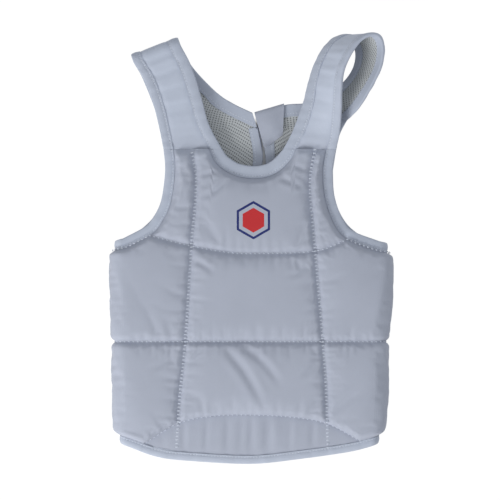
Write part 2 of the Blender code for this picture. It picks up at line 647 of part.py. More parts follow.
def flat_sections(edge, away, band, first=None, last=None):
    """Tape sections along a level edge of the back, with the way inwards given at its ends."""
    run = np.gradient(edge, axis=0)
    inwards = np.cross(run, (0, 0, 1))
    inwards /= np.linalg.norm(inwards, axis=1)[:, None]
    inwards *= np.where((inwards * away).sum(1) > 0, -1, 1)[:, None]
    if first is not None:
        inwards[0] = first
    if last is not None:
        inwards[-1] = last
    return [[e + i * band * share - np.array([0, 0, lift]) for share, lift in tape_profile(band)]
            for e, i in zip(edge, inwards)]


# ---------------------------------------------------------------- closures

def ribbon(name, profile, origin, along, inwards, width, thickness, colour):
    """Band of even thickness that follows a profile of places inwards and heights."""
    profile = np.array(profile)
    run = np.gradient(profile, axis=0)
    normal = np.column_stack([-run[:, 1], run[:, 0]])
    normal /= np.linalg.norm(normal, axis=1)[:, None]
    skins = []
    for lift in (-thickness / 2, thickness / 2):
        v, z = (profile + normal * lift).T
        rows = origin + np.multiply.outer(v, inwards) + np.multiply.outer(z, (0, 0, 1))
        skins.append(np.stack([rows - along * width / 2, rows + along * width / 2], 1))
    triangles = grid_triangles(skins[0].shape[:2])
    two_skins(name, skins[0].reshape(-1, 3), skins[1].reshape(-1, 3), triangles, colour)


def flat_patch(name, centre, size, low, thickness, colour):
    """Rectangle of tape with round corners, as a flat outline with a thickness."""
    curve = bpy.data.curves.new(name, "CURVE")
    curve.dimensions = "2D"
    curve.fill_mode = "BOTH"
    curve.extrude = thickness / 2
    outline = curve.splines.new("POLY")
    corners = [(sx * (size[0] / 2 - CORNER), sy * (size[1] / 2 - CORNER), start)
               for sx, sy, start in ((1, 1, 0), (-1, 1, 90), (-1, -1, 180), (1, -1, 270))]
    turns = [(x + CORNER * math.cos(math.radians(start + a)),
              y + CORNER * math.sin(math.radians(start + a)))
             for x, y, start in corners for a in (0, 30, 60, 90)]
    outline.points.add(len(turns) - 1)
    for point, (x, y) in zip(outline.points, turns):
        point.co = (x, y, 0, 1)
    outline.use_cyclic_u = True
    piece = bpy.data.objects.new(name, curve)
    piece.location = (*centre, low + thickness / 2)
    PARTS.objects.link(piece)
    finish(piece, colour, 0.9)


def make_closures():
    """Upper band flopped over the neckline, lower band folded back, and their patches."""
    a, b = np.array(RIGHT_BACK[2][0]), np.array(RIGHT_BACK[1][0])
    along = np.append((b - a) / np.linalg.norm(b - a), 0)
    origin = np.append((a + b) / 2, 0)
    inwards = np.array([*UPPER_END, 0]) - origin
    inwards /= np.linalg.norm(inwards)
    face = -BAND / 2 - FIT
    over = BACK_LEVEL + FIT + TAPE
    rest = over + FIT + HOOK + FIT + BAND / 2
    profile = [(face - FIT - BAND_BEND, BAND_BEND), (face - EDGE, over - LINING),
               (face + BAND_BEND, rest - BAND_BEND), (BAND_SET, rest), (SEWN, rest)]
    profile += [(UPPER_LENGTH * share, rest + CURL * lift)
                for share, lift in ((0.65, 0), (0.84, 0.2), (0.95, 0.6), (1, 1))]
    ribbon("upper_closure_band", profile, origin, along, inwards, BAND_WIDTH, BAND, WHITE)
    low = over + FIT + HOOK / 2
    ribbon("upper_closure_hook", [(place, low) for place in UPPER_HOOK], origin, along,
           inwards, BAND_WIDTH - 2 * HOOK_INSET, HOOK, HOOK_GREY)
    elastic_end = LOWER_ROOT + LOWER_ELASTIC
    flat_patch("lower_closure_band", ((LOWER_ROOT + elastic_end) / 2, LOWER_HEIGHT),
               (LOWER_ELASTIC, BAND_WIDTH), 0.0, TAPE, WHITE)
    flat_patch("lower_closure_hook", (elastic_end + FIT + LOWER_HOOK / 2, LOWER_HEIGHT),
               (LOWER_HOOK, BAND_WIDTH), 0.0, TAPE, HOOK_GREY)
    flat_patch("lower_closure_loop", (LOOP_ROOT - LOOP_LENGTH / 2, LOWER_HEIGHT),
               (LOOP_LENGTH, BAND_WIDTH), 0.0, TAPE, HOOK_GREY)
    flat_patch("upper_closure_loop", NECK_LOOP, NECK_LOOP_SIZE, 0.0, TAPE, HOOK_GREY)


# ---------------------------------------------------------------- the whole vest

# Shape of each strap, the places of its folded crest, its last place and the neckline's corner
STRAPS = {-1: (left_strap, (4, 5), 7, 9), 1: (right_strap, None, 14, 16)}


def make_vest():
    """All the pieces of the vest."""
    cells, strips, arms, neck, hem = front_layout()
    make_front(cells, strips)
    straps = {side: make_strap(side) for side in SIDES}
    for side, word in SIDES.items():
        make_back(side)
        sections = list(straps[side].sections(1, ARM_BAND))[::-1]
        channel("arm_tape_" + word, sections + panel_sections(*arms[side], ARM_BAND))
    sections = list(straps[-1].sections(0, NECK_BAND))[::-1] + panel_sections(*neck, NECK_BAND)
    channel("neck_tape", sections + list(straps[1].sections(0, NECK_BAND)))
    channel("front_hem_tape", panel_sections(*hem, HEM_BAND))
    make_closures()


for old in list(bpy.data.objects):
    bpy.data.objects.remove(old, do_unlink=True)
PARTS = bpy.data.collections.new("chest_protector")
bpy.context.scene.collection.children.link(PARTS)
make_vest()
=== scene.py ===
"""Looks of a padded chest protector of white fabric, lying on its back.

Run as a script in Blender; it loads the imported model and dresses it. Each surface is a numpy
grid that is laid out flat and then rolled round the sides or led over the shoulders.
"""
import math

import bpy
import numpy as np
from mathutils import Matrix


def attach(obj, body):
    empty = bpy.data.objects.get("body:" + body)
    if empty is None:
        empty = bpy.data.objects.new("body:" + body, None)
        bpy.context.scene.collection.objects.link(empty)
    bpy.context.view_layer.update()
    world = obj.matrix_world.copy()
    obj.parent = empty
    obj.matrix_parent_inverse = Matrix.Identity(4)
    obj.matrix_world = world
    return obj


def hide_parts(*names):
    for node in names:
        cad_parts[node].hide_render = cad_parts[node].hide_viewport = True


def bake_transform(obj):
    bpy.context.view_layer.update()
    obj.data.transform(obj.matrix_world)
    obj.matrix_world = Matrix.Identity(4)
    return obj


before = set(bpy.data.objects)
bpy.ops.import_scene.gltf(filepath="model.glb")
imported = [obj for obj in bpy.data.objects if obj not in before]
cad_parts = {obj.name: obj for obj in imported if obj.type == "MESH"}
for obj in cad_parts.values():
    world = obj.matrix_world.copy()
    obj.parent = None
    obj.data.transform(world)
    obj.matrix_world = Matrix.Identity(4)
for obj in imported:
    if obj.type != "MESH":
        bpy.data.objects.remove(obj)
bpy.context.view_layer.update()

bl_info = {
    "name": "Padded Chest Protector",
    "version": (1, 0, 0),
    "blender": (4, 5, 0),
    "location": "3D View > Sidebar > Vest",
    "description": "Builds a quilted chest protector with straps, linings, tapes and closures",
    "category": "Object",
}

SIDES = {-1: "left", 1: "right"}

# ---------------------------------------------------------------- sizes, in metres

FIT = 0.0003                # gap between touching layers
LINING = 0.0010             # thickness of the mesh lining
COVER = 0.0010              # thickness of the outer fabric
TAPE = 0.0010               # thickness of the edge tape
NECK_BAND = 0.0160          # visible width of the neck tape
ARM_BAND = 0.0120           # visible width of the armhole tape
HEM_BAND = 0.0100           # visible width of the hem tape
CENTRE_BAND = 0.0120        # visible width of the tape on the back slit
FOLD_RADIUS = 0.0082        # inner radius of the roll at each side
STACK = LINING + FIT + COVER
EDGE = FIT + TAPE
BACK_LEVEL = EDGE + STACK
FRONT_LEVEL = BACK_LEVEL + 2 * FOLD_RADIUS
SIDE_ROLL = math.pi * FOLD_RADIUS

PAD_TOP = 0.1400            # height at which the shoulder straps begin
WAIST = -0.1292             # height of the straight waist seam
UNDERARM = {-1: 0.0080, 1: 0.0055}
HEM_CORNER = -0.2660        # height of the hem at the side seam
SIDE_TOP = {-1: 0.1795, 1: 0.1790}
SIDE_BOTTOM = {-1: 0.1725, 1: 0.1670}
ARM_LINE = {
    -1: [(-0.1230, PAD_TOP), (-0.1208, 0.1100), (-0.1267, 0.0672), (-0.1396, 0.0414),
         (-0.1505, 0.0305)],
    1: [(0.1182, PAD_TOP), (0.1135, 0.1100), (0.1160, 0.0750), (0.1270, 0.0430),
        (0.1420, 0.0255)],
}
ARM_LOW = {-1: 0.0150, 1: 0.0110}
NECK_LINE = [(-0.0413, PAD_TOP), (-0.0329, 0.1290), (-0.0161, 0.1193), (0.0077, 0.1165),
             (0.0275, 0.1230), (0.0445, PAD_TOP)]
HEM_LINE = [(-0.1800, -0.2735), (-0.1320, -0.2906), (-0.0830, -0.2965), (0.0, -0.3004),
            (0.0679, -0.2936), (0.1338, -0.2842), (0.1660, -0.2766), (0.1800, -0.2722)]
ARCH_END = 0.1555
ARCH_LINE = [(-0.1026, -0.2435), (-0.0550, -0.2335), (0.0, -0.2318), (0.0600, -0.2352),
             (0.1071, -0.2446)]
CHEST_LINE = [(-0.0860, 0.0050), (-0.0320, -0.0046), (0.0105, -0.0060), (0.0889, -0.0025)]
UPRIGHT_LINE = {
    -1: [(-0.0839, PAD_TOP), (-0.0776, 0.0900), (-0.0839, 0.0073), (-0.0928, -0.1295),
         (-0.1007, -0.2100), (-0.1050, -0.2900)],
    1: [(0.0889, PAD_TOP), (0.0818, 0.0900), (0.0889, -0.0014), (0.0997, -0.1288),
        (0.1050, -0.2100), (0.1070, -0.2900)],
}
STRAP_RISE = 0.0020
LEFT_STRAP = [((-0.0413, PAD_TOP), (-0.1230, PAD_TOP)), ((-0.0595, 0.1742), (-0.1290, 0.1700)),
              ((-0.0701, 0.2117), (-0.1370, 0.2020)), ((-0.0836, 0.2545), (-0.1490, 0.2350)),
              ((-0.0993, 0.2854), (-0.1650, 0.2613))]
LEFT_CREST_TURN = math.radians(20.0)
RIGHT_STRAP = [((0.0445, PAD_TOP, 0.0), (0.1182, PAD_TOP, 0.0)),
               ((0.0585, 0.1666, -0.0005), (0.1235, 0.1638, 0.0100)),
               ((0.0728, 0.2037, -0.0015), (0.1260, 0.1950, 0.0270)),
               ((0.0795, 0.2280, -0.0025), (0.1262, 0.2220, 0.0390)),
               ((0.0870, 0.2520, -0.0040), (0.1290, 0.2480, 0.0460)),
               ((0.0975, 0.2740, -0.0060), (0.1395, 0.2720, 0.0490)),
               ((0.1120, 0.2915, -0.0085), (0.1540, 0.2905, 0.0490)),
               ((0.1290, 0.2975, -0.0105), (0.1700, 0.2972, 0.0470)),
               ((0.1410, 0.2900, -0.0125), (0.1795, 0.2925, 0.0440)),
               ((0.1462, 0.2740, -0.0140), (0.1830, 0.2790, 0.0410)),
               ((0.1425, 0.2537, -0.0150), (0.1800, 0.2560, 0.0370)),
               ((0.1285, 0.2338, -0.0158), (0.1680, 0.2290, 0.0310)),
               ((0.1060, 0.2180, -0.0163), (0.1500, 0.1980, 0.0180)),
               ((0.0880, 0.2095, -0.0164), (0.1390, 0.1850, 0.0020))]
LEFT_BACK = [((-0.0820, 0.2547), (-0.1530, 0.2400)), ((-0.0482, 0.2194), (-0.1344, 0.1929)),
             ((-0.0253, 0.2041), (-0.1264, 0.1581)), ((0.0030, 0.1905), (-0.1213, 0.1300))]
RIGHT_BACK = [((0.0725, 0.2041), (0.1330, 0.1790)), ((0.0459, 0.2020), (0.1235, 0.1600)),
              ((0.0070, 0.1905), (0.1180, 0.1350))]
LEFT_SLIT = [((0.0090, 0.1720), (-0.1211, 0.1100)), ((0.0150, 0.1400), (-0.1225, 0.0850)),
             ((0.0148, 0.1185), (-0.1290, 0.0600)), ((0.0060, 0.0800), (-0.1410, 0.0400)),
             ((0.0020, 0.0450), (-0.1610, 0.0221))]
RIGHT_SLIT = [((0.0175, 0.1720), (0.1140, 0.1100)), ((0.0190, 0.1400), (0.1150, 0.0840)),
              ((0.0202, 0.1185), (0.1190, 0.0620)), ((0.0170, 0.0800), (0.1320, 0.0370)),
              ((0.0150, 0.0450), (0.1500, 0.0205))]
SLIT_FOOT = {-1: (-0.0005, -0.0040), 1: (0.0140, 0.0120)}
UNDERARM_ROW = 0.0150
RIB_ROW = -0.0600
BELLY_ROW = -0.1592
BACK_HEM = -0.2940
HEM_BOW = 0.0100
BAND_WIDTH = 0.0400
BAND = 0.0012
HOOK = 0.0010
LOWER_HEIGHT = -0.1300
LOWER_ROOT = 0.0265
LOWER_ELASTIC = 0.0600
LOWER_HOOK = 0.0450
LOOP_LENGTH = 0.0800
LOOP_ROOT = -0.0250
NECK_LOOP = (-0.0325, 0.1585)
NECK_LOOP_SIZE = (0.0450, 0.0270)
SLIT_ROW = {-1: 9, 1: 16}   # cross line of each strap at which its back half's slit begins
SEAM_ROW = {-1: 7, 1: 14}   # cross line at which the strap is sewn to the back half

# Fineness of the grids
ROLL_STEPS = 20
LINE_STEPS = 14             # grid rows from one cross line of a strap to the next


class VestSizes(bpy.types.PropertyGroup):
    """Sizes of the soft parts that a user would change."""
    foam: bpy.props.FloatProperty(name="Foam", description="Height of the padding in a cell",
                                  default=0.0098, unit="LENGTH")
    shoulder: bpy.props.FloatProperty(name="Shoulder", unit="LENGTH", default=0.0085,
                                      description="Distance from a seam to the full height")
    crown: bpy.props.FloatProperty(name="Crown", unit="LENGTH", default=0.0022,
                                   description="Extra height in the middle of a cell")
    pucker: bpy.props.FloatProperty(name="Pucker", unit="LENGTH", default=0.0007,
                                    description="Height of the small folds along the seams")
    stitch: bpy.props.FloatProperty(name="Stitch", unit="LENGTH", default=0.0042,
                                    description="Distance from one stitch to the next")
    mesh_pitch: bpy.props.FloatProperty(name="Mesh pitch", unit="LENGTH", default=0.0036,
                                        description="Distance between the holes of the lining")
    distance: bpy.props.FloatProperty(name="Camera", unit="LENGTH", default=5.0,
                                      description="Height of the camera above the vest")


def colour_property(name, colour, words):
    """A colour that a user can change."""
    return bpy.props.FloatVectorProperty(name=name, description=words, default=colour, size=3,
                                         subtype="COLOR", min=0.0, max=1.0)


class VestColours(bpy.types.PropertyGroup):
    """Colours of the fabrics, the print and the floor."""
    fabric: colour_property("Fabric", (0.425, 0.460, 0.555), "Quilted outer fabric")
    satin: colour_property("Satin", (0.530, 0.585, 0.705), "Fabric of the straps and back")
    tape: colour_property("Tape", (0.480, 0.530, 0.640), "Edge tape")
    mesh: colour_property("Mesh", (0.570, 0.600, 0.620), "Mesh lining")
    # painted shade: the opaque holes of the lining take a dark colour in place of the shade seen
    # through them
    shaded_hole: colour_property("Hole", (0.190, 0.205, 0.225), "Holes of the mesh lining")
    thread: colour_property("Thread", (0.600, 0.650, 0.750), "Stitches")
    # painted shade: dark colour of the stitch tips, standing in for the shadow in the holes they go
    # into
    needle_shade: colour_property("Needle", (0.090, 0.100, 0.130), "Needle holes")
    hook: colour_property("Hook", (0.450, 0.470, 0.500), "Hook and loop tape")
    foam: colour_property("Foam", (0.620, 0.620, 0.600), "Foam cores")
    badge: colour_property("Badge", (0.560, 0.030, 0.035), "Filled shape of the badge")
    outline: colour_property("Outline", (0.020, 0.030, 0.160), "Outline of the badge")
    floor: colour_property("Floor", (0.800, 0.800, 0.800), "Floor")


# ---------------------------------------------------------------- curves and grids

def spline(points, at):
    """Catmull-Rom curve: half of 2b + (c-a)t + (2a-5b+4c-d)t^2 + (3b-a-3c+d)t^3 in each span."""
    p = np.array(points, float)
    p = np.vstack([2 * p[0] - p[1], p, 2 * p[-1] - p[-2]])
    at = np.asarray(at, float)
    i = np.clip(np.floor(at).astype(int), 0, len(points) - 2)
    t = (at - i)[:, None]
    a, b, c, d = p[i], p[i + 1], p[i + 2], p[i + 3]
    return 0.5 * (2 * b + (c - a) * t + (2 * a - 5 * b + 4 * c - d) * t ** 2
                  + (3 * b - a - 3 * c + d) * t ** 3)


def smooth(points):
    """The same curve as a dense row of points."""
    return spline(points, np.linspace(0, len(points) - 1, 40 * (len(points) - 1) + 1))


def walked(line):
    """Length walked along a row of points, at each point."""
    return np.append(0, np.cumsum(np.linalg.norm(np.diff(line, axis=0), axis=1)))


def resample(line, fractions):
    """Points at the given fractions of a row's length, by linear interpolation."""
    length = walked(line)
    at = np.asarray(fractions) * length[-1]
    return np.column_stack([np.interp(at, length, axis) for axis in np.asarray(line).T])


def by_x(points, values):
    """Points of a smooth curve at places along X, where X grows along the curve."""
    dense = smooth(points)
    return np.column_stack([values, np.interp(values, dense[:, 0], dense[:, 1])])


def by_y(points, values):
    """Points of a smooth curve at heights, where Y falls along the curve."""
    dense = smooth(points)[::-1]
    return np.column_stack([np.interp(values, dense[:, 1], dense[:, 0]), values])


def spread(low, high, fractions):
    """Points at the given fractions of the way from low to high."""
    low, high = np.array(low, float), np.array(high, float)
    return low + np.multiply.outer(np.asarray(fractions, float), high - low)


def eased(count):
    """Fractions from 0 to 1 that lie closer at both ends: a line mixed with a cosine."""
    t = np.linspace(0, 1, count)
    return 0.55 * t + 0.45 * (0.5 - 0.5 * np.cos(math.pi * t))


def coons(bottom, top, left, right):
    """Coons patch: blend of bottom and top, plus blend of left and right, less the corners."""
    def share(one, two):
        a, b = walked(one) + 1e-12, walked(two) + 1e-12
        return (a / a[-1] + b / b[-1]) / 2
    u = share(bottom, top)[None, :, None]
    v = share(left, right)[:, None, None]
    rows = (1 - v) * bottom[None] + v * top[None]
    columns = (1 - u) * left[:, None] + u * right[:, None]
    corners = ((1 - u) * (1 - v) * bottom[0] + u * (1 - v) * bottom[-1]
               + (1 - u) * v * top[0] + u * v * top[-1])
    return rows + columns - corners


def near(points, path):
    """Least distance from each point to a path, and the length along the path there."""
    a, b = path[:-1], path[1:]
    run = b - a
    size = np.maximum((run ** 2).sum(1), 1e-18)
    t = np.clip(((points[:, None] - a) * run).sum(2) / size, 0, 1)
    gap = np.linalg.norm(points[:, None] - (a + t[..., None] * run), axis=2)
    best = gap.argmin(1)
    rows = np.arange(len(points))
    along = walked(path)[best] + t[rows, best] * np.sqrt(size[best])
    return gap[rows, best], along


def ripple(along, seed, pitch):
    """Uneven wave of a length: sum of five sines whose pitches and phases follow the seed."""
    numbers = np.random.default_rng(seed)
    pitches = pitch * numbers.uniform(0.6, 1.9, 5)
    phases = numbers.uniform(0, 2 * math.pi, 5)
    return np.sin(2 * math.pi * np.multiply.outer(along, 1 / pitches) + phases).sum(-1) / 2.2


def ease(value, low, high):
    """Smooth step: 0 below low, 1 above high, 3t^2 - 2t^3 between."""
    t = np.clip((value - low) / (high - low), 0, 1)
    return t * t * (3 - 2 * t)


def fold(points, start, end, width, depth):
    """A crease: a bell across the line from start to end, fading out towards both ends."""
    start, end = np.array(start), np.array(end)
    run = end - start
    length = np.linalg.norm(run)
    t = ((points - start) @ run) / length ** 2
    across = ((points - start) @ np.array([-run[1], run[0]])) / length
    bend = across - 0.06 * length * np.sin(3 * t)
    along = np.exp(-((t - 0.5) / 0.42) ** 4)
    return depth * along * (np.exp(-(bend / width) ** 2)
                            - 0.45 * np.exp(-((np.abs(bend) - 1.7 * width) / width) ** 2))


# ---------------------------------------------------------------- meshes

def grid_faces(rows, columns):
    """Corner numbers of a grid's triangles, as one array."""
    first = (np.arange(rows - 1)[:, None] * columns + np.arange(columns - 1)).ravel()
    a, b, c, d = first, first + 1, first + columns + 1, first + columns
    return np.vstack([np.column_stack([a, b, c]), np.column_stack([a, c, d])])


def weld(patches):
    """One flat mesh of grids that share their edges: points, and triangles facing up."""
    points = np.vstack([patch.reshape(-1, 2) for patch in patches])
    starts = np.cumsum([0] + [patch[..., 0].size for patch in patches])
    faces = np.vstack([grid_faces(*patch.shape[:2]) + start
                       for patch, start in zip(patches, starts)])
    _, first, same = np.unique(np.round(points * 1e6).astype(np.int64), axis=0,
                               return_index=True, return_inverse=True)
    points, faces = points[first], same.ravel()[faces]
    p = points[faces]
    one, two = p[:, 1] - p[:, 0], p[:, 2] - p[:, 0]
    area = one[:, 0] * two[:, 1] - one[:, 1] * two[:, 0]
    faces = np.where((area < 0)[:, None], faces[:, ::-1], faces)
    distinct = ((faces[:, 0] != faces[:, 1]) & (faces[:, 1] != faces[:, 2])
                & (faces[:, 0] != faces[:, 2]) & (np.abs(area) > 1e-13))
    return points, faces[distinct]


def build(name, points, faces, uv, material, crease=50.0):
    """A named object from whole arrays of points, triangles and cloth places in metres."""
    mesh = bpy.data.meshes.new(name)
    mesh.vertices.add(len(points))
    mesh.vertices.foreach_set("co", np.ascontiguousarray(points, np.float32).ravel())
    mesh.loops.add(faces.size)
    mesh.loops.foreach_set("vertex_index", faces.ravel().astype(np.int32))
    mesh.polygons.add(len(faces))
    mesh.polygons.foreach_set("loop_start", np.arange(0, faces.size, 3, dtype=np.int32))
    layer = mesh.uv_layers.new(name="cloth")
    layer.data.foreach_set("uv", uv[faces.ravel()].astype(np.float32).ravel())
    mesh.update(calc_edges=True)
    mesh.validate()
    mesh.shade_smooth()
    mesh.set_sharp_from_angle(angle=math.radians(crease))
    mesh.materials.append(material)
    piece = bpy.data.objects.new(name, mesh)
    bpy.context.scene.collection.objects.link(piece)
    return piece


def slab(name, inner, outer, faces, uv, material, crease=50.0):
    """Closed sheet: outer skin, inner skin turned round, and a strip along every open edge."""
    count = len(inner)
    edges = np.vstack([faces[:, [0, 1]], faces[:, [1, 2]], faces[:, [2, 0]]])
    open_edge = ~np.isin(edges[:, 0] * count + edges[:, 1], edges[:, 1] * count + edges[:, 0])
    a, b = edges[open_edge].T
    rim = np.vstack([np.column_stack([a, b, b + count]),
                     np.column_stack([a, b + count, a + count])])
    faces = np.vstack([faces + count, faces[:, ::-1], rim])
    return build(name, np.vstack([inner, outer]), faces, np.vstack([uv, uv]), material, crease)


def ring_faces(rows, columns):
    """Triangles between closed rings of points in a row, and those of the two end caps."""
    row, column = np.divmod(grid_faces(rows, columns + 1), columns + 1)
    fan = np.column_stack([np.zeros(columns - 2, int), np.arange(1, columns - 1),
                           np.arange(2, columns)])
    return row * columns + column % columns, np.vstack([fan, fan[:, ::-1] + (rows - 1) * columns])


def swept(name, sections, uv_across, material):
    """Closed sections in a row, with a flat cap at each end. The cloth place is the length
    walked along the row and the place round the section."""
    sections = np.asarray(sections, float)
    faces = np.vstack(ring_faces(*sections.shape[:2]))
    length = walked(sections.mean(1))
    uv = np.stack(np.broadcast_arrays(length[:, None], uv_across[None]), axis=-1).reshape(-1, 2)
    points = sections.reshape(-1, 3)
    p = points[faces]
    if (p[:, 0] * np.cross(p[:, 1], p[:, 2])).sum() < 0:
        faces = faces[:, ::-1]
    return build(name, points, faces, uv, material, 60.0)


def normals_of(points, faces):
    """Unit normals at the points: the sum of the crosses of the triangles round each."""
    p = points[faces]
    cross = np.cross(p[:, 1] - p[:, 0], p[:, 2] - p[:, 0])
    total = np.column_stack([np.bincount(faces.ravel(), np.repeat(cross[:, axis], 3), len(points))
                             for axis in range(3)])
    return total / np.maximum(np.linalg.norm(total, axis=1), 1e-15)[:, None]


def join(name, pieces, material):
    """One mesh out of arrays of points, triangles and cloth places."""
    starts = np.cumsum([0] + [len(points) for points, _, _ in pieces])
    return build(name, np.vstack([p for p, _, _ in pieces]),
                 np.vstack([f + start for (_, f, _), start in zip(pieces, starts)]),
                 np.vstack([uv for _, _, uv in pieces]), material)


# ---------------------------------------------------------------- padded front, laid out flat

ROWS = 56                   # grid rows of a padded cell
CHEST_COLUMNS = 24          # grid columns of a chest cell beside the armhole
BRIDGE = 14                 # grid columns from the armhole's curve to the side roll
SIDE_COLUMNS = BRIDGE + CHEST_COLUMNS - 1   # steps from the side roll to the upright seam
GAP_COLUMNS = 11            # grid columns from an upright seam to the neck tape
NECK_COLUMNS = 58
CENTRE_COLUMNS = 2 * GAP_COLUMNS + NECK_COLUMNS + 1
LENS_ROWS = 14              # grid rows of the flat strip above the hem
SEAM_SHARE = 0.50           # share of the foam's height that is left under a seam
BAR_PITCH = 0.0051          # distance between the bar stitches on the upright seams
LEVEL_PITCH = 0.0062        # the same on the level seams
LEVEL_SPAN = 0.030          # a seam that covers more of the width than this is a level one
BAR_REACH = 0.0030          # half width of the stitches across the upright seams
LEVEL_REACH = 0.0010        # the same on the level seams
BAR_SLANT = 0.30            # share of the pitch that a bar stitch runs along its seam
LEVEL_SLANT = 0.62          # the same on the level seams
BAR_LIFT = 0.0009           # height of the bar stitches over the pressed seam
STITCH_FOOT = -0.2800       # height at which the upright seams end above the hem tape
PUCKER_PITCH = 0.012        # distance between the small folds across the seams
PUCKER_START = 0.0020       # distance from a seam at which they swell up
PUCKER_REACH = 0.009        # and in which they fade
END_RISE = 0.8              # width of the rise beside an upright edge, in shoulders
LEVEL_END_RISE = 1.9        # the same beside the straps, whose edge is level
LUMP_HEIGHT = 0.00022       # height of the slow unevenness of the padding
ROLL_ANGLES = np.linspace(math.pi, 0.0, ROLL_STEPS + 1)


def side_line(side, y):
    """Half width at which the side roll begins, in proportion to the height."""
    share = (y - HEM_CORNER) / (UNDERARM[side] - HEM_CORNER)
    return SIDE_BOTTOM[side] + (SIDE_TOP[side] - SIDE_BOTTOM[side]) * share


def roll_angle(flat):
    """Start of the roll beside each flat point, and the angle that the point lies round it."""
    line = np.where(flat[:, 0] < 0, side_line(-1, flat[:, 1]), side_line(1, flat[:, 1]))
    return line, np.maximum(np.abs(flat[:, 0]) - line, 0) / FOLD_RADIUS


def roll(flat, lift):
    """Flat points laid round the sides: past the line, x and z follow a circle whose radius
    is the fold's radius plus the lift."""
    line, angle = roll_angle(flat)
    reach = FOLD_RADIUS + lift
    x = np.sign(flat[:, 0]) * (np.minimum(np.abs(flat[:, 0]), line) + reach * np.sin(angle))
    return np.column_stack([x, flat[:, 1], BACK_LEVEL + FOLD_RADIUS + reach * np.cos(angle)])


def rolled_row(side, heights):
    """Flat points from the side seam to the start of the roll, at the given heights."""
    heights = np.broadcast_to(heights, len(ROLL_ANGLES))
    return np.column_stack([side * (side_line(side, heights) + FOLD_RADIUS * ROLL_ANGLES), heights])


def rolled_column(side, heights):
    """Flat points along the side seam at the given heights."""
    return np.column_stack([side * (side_line(side, heights) + SIDE_ROLL), heights])


def turned(line, side):
    """Unit vectors square to a flat path, on its right for side 1 and its left for side -1."""
    run = np.gradient(line, axis=0)
    normal = np.column_stack([run[:, 1], -run[:, 0]]) * side
    return normal / np.linalg.norm(normal, axis=1)[:, None]


def arm_rows(side):
    """Cloth edge and inner tape line of the armhole, from the pad's top to the side seam."""
    heights = spread(UNDERARM[side], ARM_LOW[side], np.linspace(0, 1, ROLL_STEPS + 1))
    rolled = rolled_row(side, heights)[::-1]
    curve = ARM_LINE[side] + [tuple(rolled[0])]
    last = len(curve) - 1
    upper = resample(spline(curve, np.linspace(0, last - 1, 200)), eased(ROWS))
    bridge = spline(curve, np.linspace(last - 1, last, BRIDGE + 1))[1:-1]
    line = np.vstack([upper, bridge, rolled])
    first = len(upper) + len(bridge)
    normal = turned(line, side)
    normal[0] = (-side, 0)
    normal[first:] = (0, -1)
    edge = line + normal * EDGE
    inner = edge + normal * ARM_BAND
    for row in (edge, inner):
        row[first:] = rolled_row(side, row[first:, 1][::-1])[::-1]
    return edge, inner


def neck_rows():
    """Cloth edge and inner tape line of the front neckline, from left to right."""
    line = resample(smooth(NECK_LINE), np.linspace(0, 1, NECK_COLUMNS + 1))
    normal = turned(line, 1)
    normal[0], normal[-1] = (-1, 0), (1, 0)
    edge = line + normal * EDGE
    return edge, edge + normal * NECK_BAND


def hem_rows():
    """Cloth edge and inner tape line of the front hem, from side seam to side seam."""
    foot = [by_y(UPRIGHT_LINE[side], [BACK_HEM])[0, 0] for side in (-1, 1)]
    outer = np.linspace(0, 1, SIDE_COLUMNS)
    middle = np.concatenate([spread(-ARCH_END, foot[0], outer),
                             spread(*foot, eased(CENTRE_COLUMNS))[1:-1],
                             spread(foot[1], ARCH_END, outer)])
    count = ROLL_STEPS + 1
    ends = []
    for side in (-1, 1):
        height = by_x(HEM_LINE, [side * side_line(side, HEM_CORNER)])[0, 1]
        ends.append(rolled_row(side, spread(HEM_CORNER, height, np.linspace(0, 1, count))))
    line = np.vstack([ends[0], by_x(HEM_LINE, middle), ends[1][::-1]])
    normal = turned(line, -1)
    normal[:count] = normal[-count:] = (0, 1)
    edge = line + normal * EDGE
    inner = edge + normal * HEM_BAND
    for row in (edge, inner):
        row[:count] = rolled_row(-1, row[:count, 1])
        row[-count:] = rolled_row(1, row[-count:, 1][::-1])[::-1]
    return edge, inner


def crossing(side, path):
    """Point where an upright seam crosses a level one, found by going back and forth."""
    point = np.array([0.0, 0.0])
    for _ in range(20):
        point = by_y(UPRIGHT_LINE[side], [point[1]])[0]
        point = by_x(path, [point[0]])[0]
    return point


def upright(side, low, high):
    """Upright seam from one point up to another."""
    points = by_y(UPRIGHT_LINE[side], spread(low[1], high[1], eased(ROWS)))
    points[0], points[-1] = low, high
    return points


